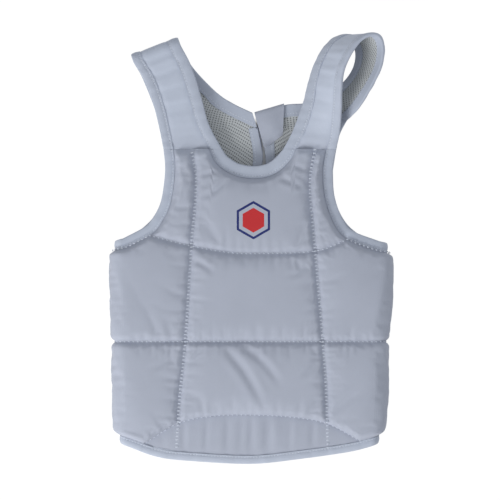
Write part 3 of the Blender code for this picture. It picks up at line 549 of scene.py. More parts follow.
def front_layout():
    """Flat grids of the front: padded cells by name, unpadded strips, tapes and seam paths."""
    arms = {side: arm_rows(side) for side in (-1, 1)}
    neck_edge, neck_inner = neck_rows()
    hem_edge, hem_inner = hem_rows()
    last, count = ROWS - 1, ROLL_STEPS + 1
    split = {side: arms[side][1][last] for side in (-1, 1)}
    arch_foot = {-1: hem_inner[count], 1: hem_inner[-count - 1]}
    chest = [split[-1]] + CHEST_LINE + [split[1]]
    arch = [arch_foot[-1]] + ARCH_LINE + [arch_foot[1]]
    cells, strips, corners = {}, [], {}
    lens_rows = np.linspace(0, 1, LENS_ROWS)
    for side, word in SIDES.items():
        edge, inner = arms[side]
        top = by_y(UPRIGHT_LINE[side], [PAD_TOP])[0]
        chest_at, arch_at = crossing(side, chest), crossing(side, arch)
        waist_at = by_y(UPRIGHT_LINE[side], [WAIST])[0]
        corners[side] = (top, chest_at, waist_at, arch_at)
        chest_row = by_x(chest, spread(split[side][0], chest_at[0], eased(CHEST_COLUMNS)))
        arch_row = by_x(arch, spread(arch_foot[side][0], arch_at[0], eased(SIDE_COLUMNS)))
        cells["chest_" + word] = coons(chest_row, spread(inner[0], top, eased(CHEST_COLUMNS)),
                                       inner[:last + 1][::-1], upright(side, chest_at, top))
        rolled = rolled_row(side, WAIST)
        waist_row = np.vstack([rolled, spread(rolled[-1], waist_at,
                                              np.linspace(0, 1, SIDE_COLUMNS + 1))[1:]])
        seam = rolled_column(side, spread(WAIST, inner[-1][1], eased(ROWS)))
        cells["rib_" + word] = coons(waist_row, np.vstack([inner[last:][::-1], chest_row[1:]]),
                                     seam, upright(side, waist_at, chest_at))
        hem = hem_inner if side < 0 else hem_inner[::-1]
        lens = hem[count:count + SIDE_COLUMNS]
        seam = rolled_column(side, spread(hem[0][1], WAIST, eased(ROWS)))
        cells["belly_" + word] = coons(np.vstack([hem[:count], arch_row]), waist_row, seam,
                                       upright(side, arch_at, waist_at))
        strips.append(coons(lens, arch_row, np.tile(lens[0], (LENS_ROWS, 1)),
                            spread(lens[-1], arch_at, lens_rows)))
        strips.append(np.array([edge, inner]))
    left, right = corners[-1], corners[1]
    between = [spread(left[i][0], right[i][0], eased(CENTRE_COLUMNS)) for i in range(4)]
    chest_row, arch_row = by_x(chest, between[1]), by_x(arch, between[3])
    waist_row = np.column_stack([between[2], np.full(CENTRE_COLUMNS, WAIST)])
    gap = np.linspace(0, 1, GAP_COLUMNS + 1)
    neck_top = np.vstack([spread(left[0], neck_inner[0], gap)[:-1], neck_inner,
                          spread(neck_inner[-1], right[0], gap)[1:]])
    sides = {row: [upright(side, corners[side][row + 1], corners[side][row])
                   for side in (-1, 1)] for row in range(3)}
    cells["chest_centre"] = coons(chest_row, neck_top, *sides[0])
    cells["rib_centre"] = coons(waist_row, chest_row, *sides[1])
    cells["belly_centre"] = coons(arch_row, waist_row, *sides[2])
    start = count + SIDE_COLUMNS - 1
    lens = hem_inner[start:start + CENTRE_COLUMNS]
    strips.append(coons(lens, arch_row, spread(lens[0], left[3], lens_rows),
                        spread(lens[-1], right[3], lens_rows)))
    strips += [np.array([neck_edge, neck_inner]), np.array([hem_edge, hem_inner])]
    return cells, strips, arms, (neck_edge, neck_inner), (hem_edge, hem_inner)


CELLS, STRIPS, ARMS, NECK, HEM = front_layout()

# Creases of the padded front: start, end, width and depth (negative for a valley)
FOLDS = [
    ((-0.048, 0.112), (-0.074, 0.102), 0.0035, -0.0016),
    ((-0.031, 0.100), (-0.072, 0.070), 0.0040, -0.0018),
    ((0.036, 0.100), (0.074, 0.083), 0.0040, -0.0016),
    ((0.050, 0.118), (0.078, 0.108), 0.0035, -0.0013),
    ((-0.040, -0.136), (0.014, -0.217), 0.0060, -0.0020),
    ((-0.012, -0.134), (0.040, -0.190), 0.0055, -0.0014),
    ((-0.085, -0.014), (-0.052, -0.034), 0.0045, -0.0013),
    ((0.084, -0.016), (0.050, -0.040), 0.0045, -0.0013),
    ((0.098, -0.145), (0.070, -0.180), 0.0050, -0.0014),
    ((0.108, -0.236), (0.150, -0.200), 0.0050, -0.0014),
    ((-0.106, -0.140), (-0.140, -0.170), 0.0045, -0.0012),
    ((-0.104, 0.112), (-0.112, 0.060), 0.0040, -0.0012),
    ((0.103, 0.138), (0.107, 0.112), 0.0022, -0.0016),
    ((0.110, 0.139), (0.112, 0.118), 0.0020, -0.0014),
]
# The same for the unpadded strip above the hem: place along X and width
HEM_FOLDS = [(-0.0637, 0.0040), (-0.0343, 0.0045), (-0.0147, 0.0050), (-0.0007, 0.0040),
             (0.0231, 0.0055), (0.0539, 0.0045), (0.0860, 0.0050), (-0.0950, 0.0050)]
HEM_FOLD_DEPTH = 0.0014
HEM_FOLD_LEAN = 0.05        # sideways shift of these folds per metre of height, from zero at
HEM_FOLD_LEVEL = -0.26      # this height
HEM_FOLD_ROOM = 0.045       # depth of the strip at which they have their full height


def rise(gap, width):
    """Share of the full height at a distance from a seam: 1-(1-d/w)^2.4, and 1 beyond w."""
    return 1 - (1 - np.clip(gap / width, 0, 1)) ** 2.4


def bound_edges():
    """Flat paths where the padding ends in a tape, a strap or the side seam."""
    paths = [NECK[1], HEM[1]]
    for side, word in SIDES.items():
        paths += [ARMS[side][1], CELLS["chest_" + word][-1], CELLS["rib_" + word][:, 0],
                  CELLS["belly_" + word][:, 0]]
    return paths


def pad_heights(cell, sizes, seed):
    """Height of the padding over a cell, and the distance to its nearest seam. For each of
    the four sides the height rises from the pressed seam to the full foam, and the four are
    multiplied; at tapes, straps and the side seam it rises from nothing. A crown, small
    folds across the seams and the photographed creases are added, and the part that is
    rolled under stays above the floor."""
    points = cell.reshape(-1, 2)
    rows, columns = cell.shape[:2]
    height = np.ones(len(points))
    folds = np.zeros(len(points))
    least = np.full(len(points), 1.0)
    paths = (cell[0], cell[:, -1], cell[-1], cell[:, 0])
    for number, path in enumerate(paths):
        gap, along = near(points, path)
        least = np.minimum(least, gap)
        level = abs(path[0, 0] - path[-1, 0]) > LEVEL_SPAN
        groove = LEVEL_REACH if level else BAR_REACH / 2
        height *= SEAM_SHARE + (1 - SEAM_SHARE) * rise(np.maximum(gap - groove, 0), sizes.shoulder)
        folds += (ripple(along, seed * 7 + number, PUCKER_PITCH) * np.exp(-gap / PUCKER_REACH)
                  * (1 - np.exp(-gap / PUCKER_START)))
    for path in bound_edges():
        level = np.ptp(path[:, 1]) < 1e-6
        width = (LEVEL_END_RISE if level else END_RISE) * sizes.shoulder
        height *= rise(near(points, path[::2])[0], width)
    u = np.linspace(0, 1, columns)[None, :]
    v = np.linspace(0, 1, rows)[:, None]
    crown = (16 * u * (1 - u) * v * (1 - v)).ravel()
    numbers = np.random.default_rng(seed)
    waves = sum(np.sin(points @ numbers.uniform(-60, 60, 2) + numbers.uniform(0, 6))
                for _ in range(5))
    total = sizes.foam * height + height * (sizes.crown * crown + LUMP_HEIGHT * waves)
    total += folds * sizes.pucker * height
    for start, end, width, depth in FOLDS:
        total += height * fold(points, start, end, width, depth)
    fall = -np.cos(roll_angle(points)[1])
    table = (BACK_LEVEL + FOLD_RADIUS) / np.maximum(fall, 1e-3) - FOLD_RADIUS - STACK
    total = np.where(fall > 1e-3, np.minimum(total, table), total)
    return np.maximum(total, 0).reshape(rows, columns), least.reshape(rows, columns)


def strip_heights(strip, seed):
    """Slack of the unpadded strip above the hem: soft upright folds that fade at its edges."""
    rows, columns = strip.shape[:2]
    points = strip.reshape(-1, 2)
    v = np.repeat(np.linspace(0, 1, rows), columns)
    deep = np.ptp(strip[..., 1], axis=0)
    share = np.tile(np.clip(deep / HEM_FOLD_ROOM, 0, 1), rows)
    lean = HEM_FOLD_LEAN * (points[:, 1] - HEM_FOLD_LEVEL)
    slack = sum(np.exp(-((points[:, 0] - x - lean) / width) ** 2) for x, width in HEM_FOLDS)
    slack = HEM_FOLD_DEPTH * (1.0 - slack) + 0.0003 * ripple(points[:, 0], seed, 0.02)
    return (np.maximum(slack, 0) * share * np.sin(math.pi * v) ** 0.7).reshape(rows, columns)


def front_puff(sizes):
    """Welded flat mesh of the front, the height of the cloth above it and the distance to
    the nearest seam."""
    patches, heights, gaps = [], [], []
    for seed, cell in enumerate(CELLS.values(), 1):
        height, gap = pad_heights(cell, sizes, seed)
        patches.append(cell)
        heights.append(height)
        gaps.append(gap)
    for seed, strip in enumerate(STRIPS, 20):
        patches.append(strip)
        flat = np.zeros(strip.shape[:2])
        heights.append(strip_heights(strip, seed) if len(strip) == LENS_ROWS else flat)
        gaps.append(flat)
    points, faces = weld(patches)
    keys = np.round(np.vstack([p.reshape(-1, 2) for p in patches]) * 1e6).astype(np.int64)
    order = np.unique(keys, axis=0, return_inverse=True)[1].ravel()
    least = []
    for parts in (heights, gaps):
        value = np.full(len(points), np.inf)
        np.minimum.at(value, order, np.concatenate([part.ravel() for part in parts]))
        least.append(value)
    return points, faces, *least


SIM_FRAMES = 20
SIM_PRESSURE = 2.0
SIM_MASS = 0.25
SIM_STRETCH = 12            # stiffness against stretch and squeeze
SIM_BENDING = 1.5           # stiffness against bending
SIM_SLACK = 0.009           # share by which the cloth is cut wider than the foam
SIM_CAP = 0.0022            # greatest move of a point
SEWN_REACH = 0.0015         # cloth nearer to a seam than this is held


def inflate(start, faces, sewn):
    """Cloth that is sewn down along the seams is blown up gently from below, so that it
    gathers small folds of its own; no point moves more than a cap."""
    mesh = bpy.data.meshes.new("cover_cloth")
    mesh.from_pydata(start, [], faces)
    cloth_object = bpy.data.objects.new("cover_cloth", mesh)
    bpy.context.scene.collection.objects.link(cloth_object)
    group = cloth_object.vertex_groups.new(name="sewn")
    group.add(np.flatnonzero(sewn).tolist(), 1.0, "REPLACE")
    cloth = cloth_object.modifiers.new("cloth", "CLOTH").settings
    cloth.quality = 6
    cloth.mass = SIM_MASS
    cloth.vertex_group_mass = "sewn"
    cloth.tension_stiffness = cloth.compression_stiffness = SIM_STRETCH
    cloth.bending_stiffness = SIM_BENDING
    cloth.shrink_min = -SIM_SLACK
    cloth.use_pressure = True
    cloth.uniform_pressure_force = SIM_PRESSURE
    cloth.effector_weights.gravity = 0
    scene = bpy.context.scene
    for number in range(1, SIM_FRAMES + 1):
        scene.frame_set(number)
    shape = cloth_object.evaluated_get(bpy.context.evaluated_depsgraph_get())
    moved = np.zeros(len(start) * 3, np.float32)
    shape.data.vertices.foreach_get("co", moved)
    scene.frame_set(1)
    bpy.data.objects.remove(cloth_object, do_unlink=True)
    move = moved.reshape(-1, 3).astype(float) - start
    length = np.linalg.norm(move, axis=1)[:, None]
    return start + move * np.tanh(length / SIM_CAP) * SIM_CAP / np.maximum(length, 1e-9)


def make_cover(sizes, paint):
    """Quilted outer fabric of the front, over its foam."""
    points, faces, puff, gap = front_puff(sizes)
    outer = roll(points, STACK + puff)
    outer = inflate(outer, faces, gap < SEWN_REACH)
    outer[:, 2] = np.maximum(outer[:, 2], 0.0)
    inner = outer - normals_of(outer, faces) * COVER
    cover = slab("quilted_cover", inner, outer, faces, points, paint["fabric"], 75.0)
    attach(cover, "front")
    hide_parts("front_cover")


FOAM_SHARE = 0.80           # height of a foam core as a share of the padding's
FOAM_GAP = 0.0004           # and the room that it leaves below the cover


def make_foam(sizes, paint):
    """Foam core of each cell, a little inside the cover."""
    for seed, (name, cell) in enumerate(CELLS.items(), 1):
        inside = cell[2:-2:2, 2:-2:2]
        depth = pad_heights(cell, sizes, seed)[0][2:-2:2, 2:-2:2].ravel()
        depth = np.maximum(depth * FOAM_SHARE - FOAM_GAP, FIT * 2)
        points, faces = weld([inside])
        order = np.unique(np.round(inside.reshape(-1, 2) * 1e6).astype(np.int64), axis=0,
                          return_index=True)[1]
        core = slab("foam_core_" + name, roll(points, LINING + FIT),
                    roll(points, LINING + depth[order]), faces, points, paint["foam"])
        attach(core, "front")
        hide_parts("foam_" + name)


def make_front_lining(paint):
    """Mesh lining behind the foam, rolled round the sides with it."""
    points, faces = weld(list(CELLS.values()) + STRIPS)
    lining = slab("front_mesh_lining", roll(points, 0.0), roll(points, LINING), faces, points,
                  paint["mesh"])
    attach(lining, "front")
    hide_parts("front_lining")


# ---------------------------------------------------------------- edge tapes

TAPE_POINTS = 12            # points across a tape
TAPE_BULGE = 0.0007         # height of its soft bulge
TAPE_DIP = 0.00035          # depth to which the stitches pull it down
TAPE_WAVE = 0.00022         # height of the waves along a tape of the front
STRAP_TAPE_WAVE = 0.00025   # the same on a strap
TAPE_SEAM = STACK + EDGE - 0.0002    # height of the stitches on a tape


def tape_ring(band):
    """Section of a folded tape as places inwards from the cloth's edge and heights across
    the cloth: over the top with a soft bulge as far as the stitches, round the nose as half
    an ellipse, back below, and along the inside."""
    s = np.linspace(1, 0, TAPE_POINTS)
    bulge = TAPE_BULGE * np.sin(math.pi * np.clip(s / 0.78, 0, 1)) ** 0.8
    dip = -TAPE_DIP * np.exp(-((s - STITCH_SHARE) / 0.06) ** 2)
    middle = STACK / 2
    half = STACK / 2 + FIT + TAPE
    top = np.column_stack([s * band, middle + half + bulge + dip])
    angle = np.linspace(0, math.pi, 9)[1:-1]
    nose = np.column_stack([-EDGE * 1.15 * np.sin(angle), middle + half * np.cos(angle)])
    low = np.column_stack([s[::-1] * band, np.full(TAPE_POINTS, middle - half)])
    back = np.array([[band, -FIT], [0.0005, -FIT], [-FIT, -FIT + 0.0003],
                     [-FIT, STACK + FIT - 0.0003], [0.0005, STACK + FIT], [band, STACK + FIT]])
    ring = np.vstack([top, nose, low, back])
    around = walked(np.vstack([ring, ring[:1]]))
    return ring[:, 0], ring[:, 1], around


def panel_tape(edge, inner, band, seed):
    """Tape sections along a flat edge of the front."""
    place, lift, around = tape_ring(band)
    share = place / band
    flat = edge[:, None] + (inner - edge)[:, None] * share[None, :, None]
    wave = TAPE_WAVE * ripple(walked(edge), seed, 0.018)[:, None]
    lifts = lift[None] + wave * (lift[None] > STACK + FIT)
    points = roll(flat.reshape(-1, 2), lifts.ravel()).reshape(*flat.shape[:2], 3)
    points[..., 2] = np.maximum(points[..., 2], 0.0)
    return points, around


def finish_tape(name, sections, around, paint, *nodes, body="front", side=0):
    """Tape as a piece that rides with a body, or, on a strap or back half, has its transform baked.
    """
    tape = swept(name, sections, around, paint["tape"])
    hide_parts(*nodes)
    if side:
        bend_with_back(tape)
    else:
        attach(tape, body)


# ---------------------------------------------------------------- straps and back

def left_strap(at):
    """Cross lines of the left strap: splines up the front and down the back, and a half
    circle round the folded crest."""
    front = [(*a, FRONT_LEVEL + STRAP_RISE * i / 4, *b, FRONT_LEVEL + STRAP_RISE * i / 4)
             for i, (a, b) in enumerate(LEFT_STRAP)]
    back = [(*a, BACK_LEVEL, *b, BACK_LEVEL) for a, b in [LEFT_STRAP[-1]] + LEFT_BACK]
    end = len(front) - 1
    top = np.array(front[-1])
    radius = (top[2] - BACK_LEVEL) / 2
    forth = np.array([-math.sin(LEFT_CREST_TURN), math.cos(LEFT_CREST_TURN), 0])
    angle = np.clip(at - end, 0, 1)[:, None] * math.pi
    over = forth * radius * np.sin(angle) + np.array([0, 0, radius]) * (np.cos(angle) - 1)
    crest = top + np.hstack([over, over])
    lines = np.where((at <= end)[:, None], spline(front, np.minimum(at, end)), crest)
    lines = np.where((at >= end + 1)[:, None], spline(back, np.maximum(at - end - 1, 0)), lines)
    return lines.reshape(-1, 2, 3)


def right_strap(at):
    """Cross lines of the right strap: one spline up, round the standing loop and down."""
    rows = [(*a[:2], FRONT_LEVEL + a[2], *b[:2], FRONT_LEVEL + b[2]) for a, b in RIGHT_STRAP]
    rows += [(*a, BACK_LEVEL, *b, BACK_LEVEL) for a, b in RIGHT_BACK]
    lines = spline(rows, at).reshape(-1, 2, 3)
    lines[..., 2] = np.maximum(lines[..., 2], BACK_LEVEL)
    return lines


STRAP = {-1: left_strap, 1: right_strap}


STRAP_START = 0.004         # place past its first cross line where a strap's cloth begins
BACK_START = 0.002          # and past the strap's seam line where that of a back half does


def back_lines(side):
    """Cross lines of a back half: the strap's flat end, splines down to the underarm, and
    straight rows down to the hem. Also the number of rows above the side seam."""
    slit, foot = {-1: LEFT_SLIT, 1: RIGHT_SLIT}[side], SLIT_FOOT[side]
    at = np.linspace(SEAM_ROW[side], SLIT_ROW[side], 2 * LINE_STEPS + 1)
    at[0] += BACK_START
    upper = STRAP[side](at)
    levels = np.array([UNDERARM[side] - EDGE, RIB_ROW, BELLY_ROW, HEM_CORNER + EDGE])
    heights = [UNDERARM_ROW, RIB_ROW, BELLY_ROW, BACK_HEM + EDGE]
    outer = side * (side_line(side, levels) - FIT)
    rows = [(*a, BACK_LEVEL, *b, BACK_LEVEL) for a, b in slit]
    rows += [(foot[0] + (foot[1] - foot[0]) * share, height, BACK_LEVEL, x, y, BACK_LEVEL)
             for share, height, x, y in zip((0, 0.25, 0.6, 1), heights, outer, levels)]
    bend = len(slit)
    first = spline(rows[:bend + 1], np.linspace(0, bend, bend * LINE_STEPS + 1))
    straight = np.vstack([spread(rows[i], rows[i + 1], np.linspace(0, 1, 3 * LINE_STEPS)[1:])
                          for i in range(bend, len(rows) - 1)])
    gap = spread(upper[-1].reshape(-1), rows[0], np.linspace(0, 1, LINE_STEPS)[1:-1])
    lines = np.vstack([upper.reshape(-1, 6), gap, first, straight]).reshape(-1, 2, 3)
    seam_rows = len(straight) + 1
    return lines, len(at), len(lines) - seam_rows


HEM_ROWS = 20               # rows above the hem that share its bow


class Sheet:
    """Ruled cloth between the neck ends and the arm ends of its cross lines. The normal is
    the cross of the line and the way along, so layers lie at lifts along it."""

    def __init__(self, side, lines, runs, whole_edges, columns=28):
        across = lines[:, 1] - lines[:, 0]
        across /= np.linalg.norm(across, axis=1)[:, None]
        lines = lines.copy()
        lines[:, 0] += across * EDGE
        lines[:whole_edges, 1] -= across[:whole_edges] * EDGE
        self.side, self.lines, self.runs = side, lines, runs
        self.width = np.linalg.norm(lines[:, 1] - lines[:, 0], axis=1)
        self.shares = np.tile(np.linspace(0, 1, columns), (len(lines), 1))

    def points(self, shares, lift):
        """Points at shares of the cross lines, lifted along the normal."""
        shares = shares[..., None]
        flat = self.lines[:, None, 0] + (self.lines[:, None, 1] - self.lines[:, None, 0]) * shares
        run = self.runs[:, None, 0] + (self.runs[:, None, 1] - self.runs[:, None, 0]) * shares
        line = np.broadcast_to(self.lines[:, None, 1] - self.lines[:, None, 0], run.shape)
        normal = np.cross(line, run) * self.side
        normal /= np.linalg.norm(normal, axis=-1)[..., None]
        return flat + normal * np.broadcast_to(lift, shares.shape[:-1])[..., None]

    def grid(self, lift, bow=0.0):
        """Grid of the sheet, whose last rows sag by the bow times 4s(1-s)."""
        grid = self.points(self.shares, lift)
        fade = np.clip((np.arange(len(grid)) - len(grid) + 1 + HEM_ROWS) / HEM_ROWS, 0, 1)[:, None]
        grid[..., 1] -= bow * 4 * self.shares * (1 - self.shares) * fade
        return grid

    def tape(self, edge, band, seed):
        """Tape sections along the neck (0) or arm (1) edge."""
        place, lift, around = tape_ring(band)
        step = place[None] / self.width[:, None]
        length = walked(self.lines[:, edge])
        wave = STRAP_TAPE_WAVE * ripple(length, seed, 0.016)[:, None]
        lifts = lift[None] + wave * (lift[None] > STACK + FIT)
        return self.points(step if edge == 0 else 1 - step, lifts), around

    def cloth_places(self):
        """Place on the cloth in metres: across the sheet and along its middle."""
        along = walked(self.lines.mean(1))[:, None]
        across = (self.shares - 0.5) * self.width[:, None]
        return np.stack(np.broadcast_arrays(across, along), axis=-1).reshape(-1, 2)


def bend_with_back(piece):
    """Bakes the piece's transform into its mesh."""
    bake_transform(piece)


STRAP_CROWN = 0.0010        # height of a strap's cloth between its tapes
WRINKLE_DEPTH = 0.0008
WRINKLE_PITCH = 0.034
WRINKLE_RISE = 0.012        # distance from a tape in which crown and wrinkles reach full height
CREST_PLACE = {-1: 0.150, 1: 0.130}  # length along each strap where it turns over
CREST_REACH = 0.060         # length on both sides of it in which the wrinkles gather


def strap_wrinkles(side, sheet):
    """Soft crown between the tapes and wrinkles across the strap: sines of the length whose
    height follows the crown. Wrinkles gather where the strap turns over."""
    length = walked(sheet.lines.mean(1))
    width = sheet.width[:, None]
    inside = np.clip((sheet.shares * width - 0.010) / WRINKLE_RISE, 0, 1)
    inside *= np.clip(((1 - sheet.shares) * width - 0.008) / WRINKLE_RISE, 0, 1)
    inside = inside * inside * (3 - 2 * inside)
    slant = length[:, None] + 0.25 * (sheet.shares - 0.5) * width
    waves = ripple(slant, 31 + side, WRINKLE_PITCH)
    waves = waves + 0.6 * ripple(slant - 0.2 * sheet.shares * 0.07, 41 + side, WRINKLE_PITCH / 2)
    gather = 0.35 + 0.65 * np.exp(-((length - CREST_PLACE[side]) / CREST_REACH) ** 2)[:, None]
    fade = ease(length, 0.0, 0.014)[:, None]
    return inside * fade * (STRAP_CROWN + WRINKLE_DEPTH * waves * gather)


def make_strap(side, paint):
    """Shoulder strap: cover with soft wrinkles, mesh lining, and its two tapes."""
    word = SIDES[side]
    at = np.linspace(0, SEAM_ROW[side], LINE_STEPS * SEAM_ROW[side] + 1)
    at[0] = STRAP_START
    step = 1e-4
    runs = STRAP[side](at + step) - STRAP[side](at - step)
    runs[0] = (0, 1, 0)
    runs[-1, :, 2] = 0
    sheet = Sheet(side, STRAP[side](at), runs, len(at))
    puff = strap_wrinkles(side, sheet)
    faces, uv = grid_faces(*sheet.shares.shape), sheet.cloth_places()
    if side < 0:
        faces = faces[:, ::-1]
    outer = sheet.grid(STACK + puff).reshape(-1, 3)
    inner = sheet.grid(LINING + FIT + puff).reshape(-1, 3)
    cover = slab("strap_fabric_" + word, inner, outer, faces, uv, paint["satin"])
    lining = slab("strap_mesh_" + word, sheet.grid(-0.5 * puff).reshape(-1, 3),
                  sheet.grid(LINING - 0.5 * puff).reshape(-1, 3), faces, uv, paint["mesh"])
    for piece, node, slot in ((cover, "strap_cover_", "strap_satin"),
                              (lining, "strap_lining_", "mesh_lining")):
        bend_with_back(piece)
        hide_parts(node + word)
    neck, around = sheet.tape(0, NECK_BAND, 50 + side)
    finish_tape("neck_tape_strap_" + word, neck, around, paint, "neck_tape", side=side)
    arm, around = sheet.tape(1, ARM_BAND, 60 + side)
    finish_tape("arm_tape_strap_" + word, arm, around, paint, "arm_tape_" + word, side=side)
    return sheet


def level_tape(edge, away, band, first=None, last=None):
    """Tape sections along a level edge of the back, whose outer face points down."""
    run = np.gradient(edge, axis=0)
    inwards = np.cross(run, (0, 0, 1))
    inwards /= np.linalg.norm(inwards, axis=1)[:, None]
    inwards *= np.where((inwards * away).sum(1) > 0, -1, 1)[:, None]
    if first is not None:
        inwards[0] = first
    if last is not None:
        inwards[-1] = last
    place, lift, around = tape_ring(band)
    points = (edge[:, None] + inwards[:, None] * place[None, :, None]
              - lift[None, :, None] * np.array([0, 0, 1.0]))
    points[..., 2] = np.maximum(points[..., 2], 0.0)
    return points, around


STITCH_POINT = 3            # point of a tape's section where its stitches run
BACK_SAG = 0.0006           # height of the slow waves in the lining of the back
BACK_FREE = (0.012, 0.030)  # distances from an edge between which it comes free of it


def make_back(side, paint):
    """Back half with its lining and the tapes on its neckline, armhole, slit and hem; it
    gives the paths of the stitches on those tapes."""
    word = SIDES[side]
    lines, above, whole = back_lines(side)
    runs = np.tile([0.0, -1.0, 0.0], (len(lines), 2, 1))
    sheet = Sheet(side, lines, runs, whole, 40)
    faces, uv = grid_faces(*sheet.shares.shape), sheet.cloth_places()
    if side < 0:
        faces = faces[:, ::-1]
    edge_far = np.minimum(sheet.shares, 1 - sheet.shares) * sheet.width[:, None]
    soft = ease(edge_far, *BACK_FREE)
    x, y = sheet.grid(0.0)[..., 0], sheet.grid(0.0)[..., 1]
    sag = BACK_SAG * soft * (np.sin(38 * x + 22 * y) + 0.7 * np.sin(61 * y - 27 * x + side))
    low = sheet.grid(0.0, HEM_BOW).reshape(-1, 3)
    lift = np.array([0, 0, 1.0]) * (BACK_SAG * soft + sag).reshape(-1, 1).clip(0)
    layers = {"mesh": (low + lift, sheet.grid(LINING, HEM_BOW).reshape(-1, 3) + lift),
              "fabric": (sheet.grid(LINING + FIT, HEM_BOW).reshape(-1, 3),
                         sheet.grid(STACK, HEM_BOW).reshape(-1, 3))}
    for layer, node, slot, finish in (("mesh", "back_lining_", "mesh_lining", "mesh"),
                                      ("fabric", "back_cover_", "strap_satin", "satin")):
        piece = slab(f"back_{layer}_{word}", *layers[layer], faces, uv, paint[finish])
        bend_with_back(piece)
        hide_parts(node + word)
    inner, outer = sheet.lines[:, 0], sheet.lines[:, 1]
    row = (outer[0] - inner[0]) / np.linalg.norm(outer[0] - inner[0])
    seam = np.array([side * (SIDE_TOP[side] - SIDE_BOTTOM[side])
                     / (UNDERARM[side] - HEM_CORNER), 1, 0])
    corner = inner[above + LINE_STEPS - 2] - inner[above - 1]
    corner /= np.linalg.norm(corner)
    neck_run = inner[above - 1] - inner[above - 3]
    neck_run /= np.linalg.norm(neck_run)
    mitre = corner / max(np.linalg.norm(np.cross(corner, neck_run)), 0.6)
    share = np.linspace(0, 1, 60)[1:]
    hem = spread(inner[-1], outer[-1], share)
    hem[:, 1] -= HEM_BOW * 4 * share * (1 - share)
    tapes = {
        "neck": level_tape(inner[:above], (-side, 1, 0), NECK_BAND, first=row, last=mitre),
        "arm": level_tape(outer[:whole + 1], (side, 1, 0), ARM_BAND, first=-row, last=-seam),
        "slit": level_tape(inner[above + LINE_STEPS - 2:], (-side, 0, 0), CENTRE_BAND),
        "hem": level_tape(hem, (0, -1, 0), HEM_BAND, last=seam)}
    for kind, (sections, around) in tapes.items():
        finish_tape(f"back_{kind}_edge_{word}", sections, around, paint,
                    f"back_{kind}_tape_{word}", side=side)
    return [sections[:, STITCH_POINT] for sections, _ in tapes.values()]


# ---------------------------------------------------------------- closures

PATCHES = {
    "lower_closure_band": ((LOWER_ROOT + LOWER_ELASTIC / 2, LOWER_HEIGHT),
                           (LOWER_ELASTIC, BAND_WIDTH), "right", "elastic", "elastic"),
    "lower_closure_hook": ((LOWER_ROOT + LOWER_ELASTIC + FIT + LOWER_HOOK / 2, LOWER_HEIGHT),
                           (LOWER_HOOK, BAND_WIDTH), "right", "hook_tape", "hook"),
    "lower_closure_loop": ((LOOP_ROOT - LOOP_LENGTH / 2, LOWER_HEIGHT),
                           (LOOP_LENGTH, BAND_WIDTH), "left", "loop_tape", "loop"),
    "upper_closure_loop": (NECK_LOOP, NECK_LOOP_SIZE, "left", "loop_tape", "loop"),
}
UPPER_LENGTH = 0.0490
TAB_ROOT = ((0.0045, 0.1898), (0.0459, 0.2020))
TAB_END = ((0.0180, 0.1410), (0.0438, 0.1602))
TAB_CURL = 0.0070           # height of the free end over the rest of the tab
TAB_CORNERS = 0.0022        # rise of its corners, and fall of the middle between them
TAB_BEND = 0.030            # length along the tab at which its corners begin to rise,
TAB_BEND_RUN = 0.019        # and the length over which they do
TAB_SWELL = 0.0030          # height of the soft crown in its middle
TAB_TILT = 0.0012           # and how much higher its right side lies
HOOK_PLACE = (0.0080, 0.0340)
PATCH_CORNER = 0.0040


def patch_ring(size, inset):
    """Rectangle with round corners, as a closed row of points that is inset by a distance."""
    radius = max(PATCH_CORNER - inset, 0.0002)
    reach = np.array(size) / 2 - inset - radius
    angle = np.linspace(0, math.pi / 2, 8)
    points = []
    for turn, (sx, sy) in enumerate(((1, 1), (-1, 1), (-1, -1), (1, -1))):
        way = angle + turn * math.pi / 2
        points.append((sx, sy) * reach + radius * np.column_stack([np.cos(way), np.sin(way)]))
    return np.vstack(points)


def flat_patch(name, centre, size, thickness, material):
    """Rectangle of tape: rings that round its rims over, with a soft dip at the stitches."""
    profile = [(0.0055, 1.0), (0.0030, 0.97), (0.0022, 0.86), (0.0014, 0.97), (0.0006, 0.93),
               (0.0001, 0.75), (0.0, 0.5), (0.0001, 0.25), (0.0006, 0.07), (0.0014, 0.03),
               (0.0022, 0.14), (0.0030, 0.03), (0.0055, 0.0)]
    rings = []
    for inset, share in profile:
        ring = patch_ring(size, inset) + centre
        rings.append(np.column_stack([ring, np.full(len(ring), thickness * share)]))
    sides, caps = ring_faces(len(rings), len(rings[0]))
    points = np.vstack(rings)
    return build(name, points, np.vstack([sides[:, ::-1], caps]), points[:, :2].copy(), material,
                 60.0)


def tab_skin(places, heights, inset):
    """Rows across the upper tab: its sides run from the root line to the free end, and the
    corners of the free end curl up a little more than its middle."""
    root, end = np.array(TAB_ROOT), np.array(TAB_END)
    inwards = end.mean(0) - root.mean(0)
    inwards /= np.linalg.norm(inwards)
    share = np.linspace(inset, 1 - inset, 22)
    before, after = np.minimum(places, 0), np.maximum(places, 0) / UPPER_LENGTH
    sides = root[None] + (end - root)[None] * after[:, None, None]
    sides = sides + before[:, None, None] * inwards
    rows = sides[:, :1] + (sides[:, 1:] - sides[:, :1]) * share[None, :, None]
    curl = np.clip((places - TAB_BEND) / TAB_BEND_RUN, 0, 1)[:, None] ** 2
    z = heights[:, None] + curl * TAB_CORNERS * np.cos(2 * math.pi * share)[None]
    swell = np.sin(math.pi * np.clip(places / UPPER_LENGTH, 0, 1))[:, None]
    z = z + swell * (TAB_SWELL * np.sin(math.pi * share)[None] ** 1.5 + TAB_TILT * share[None])
    return np.dstack([rows, z])


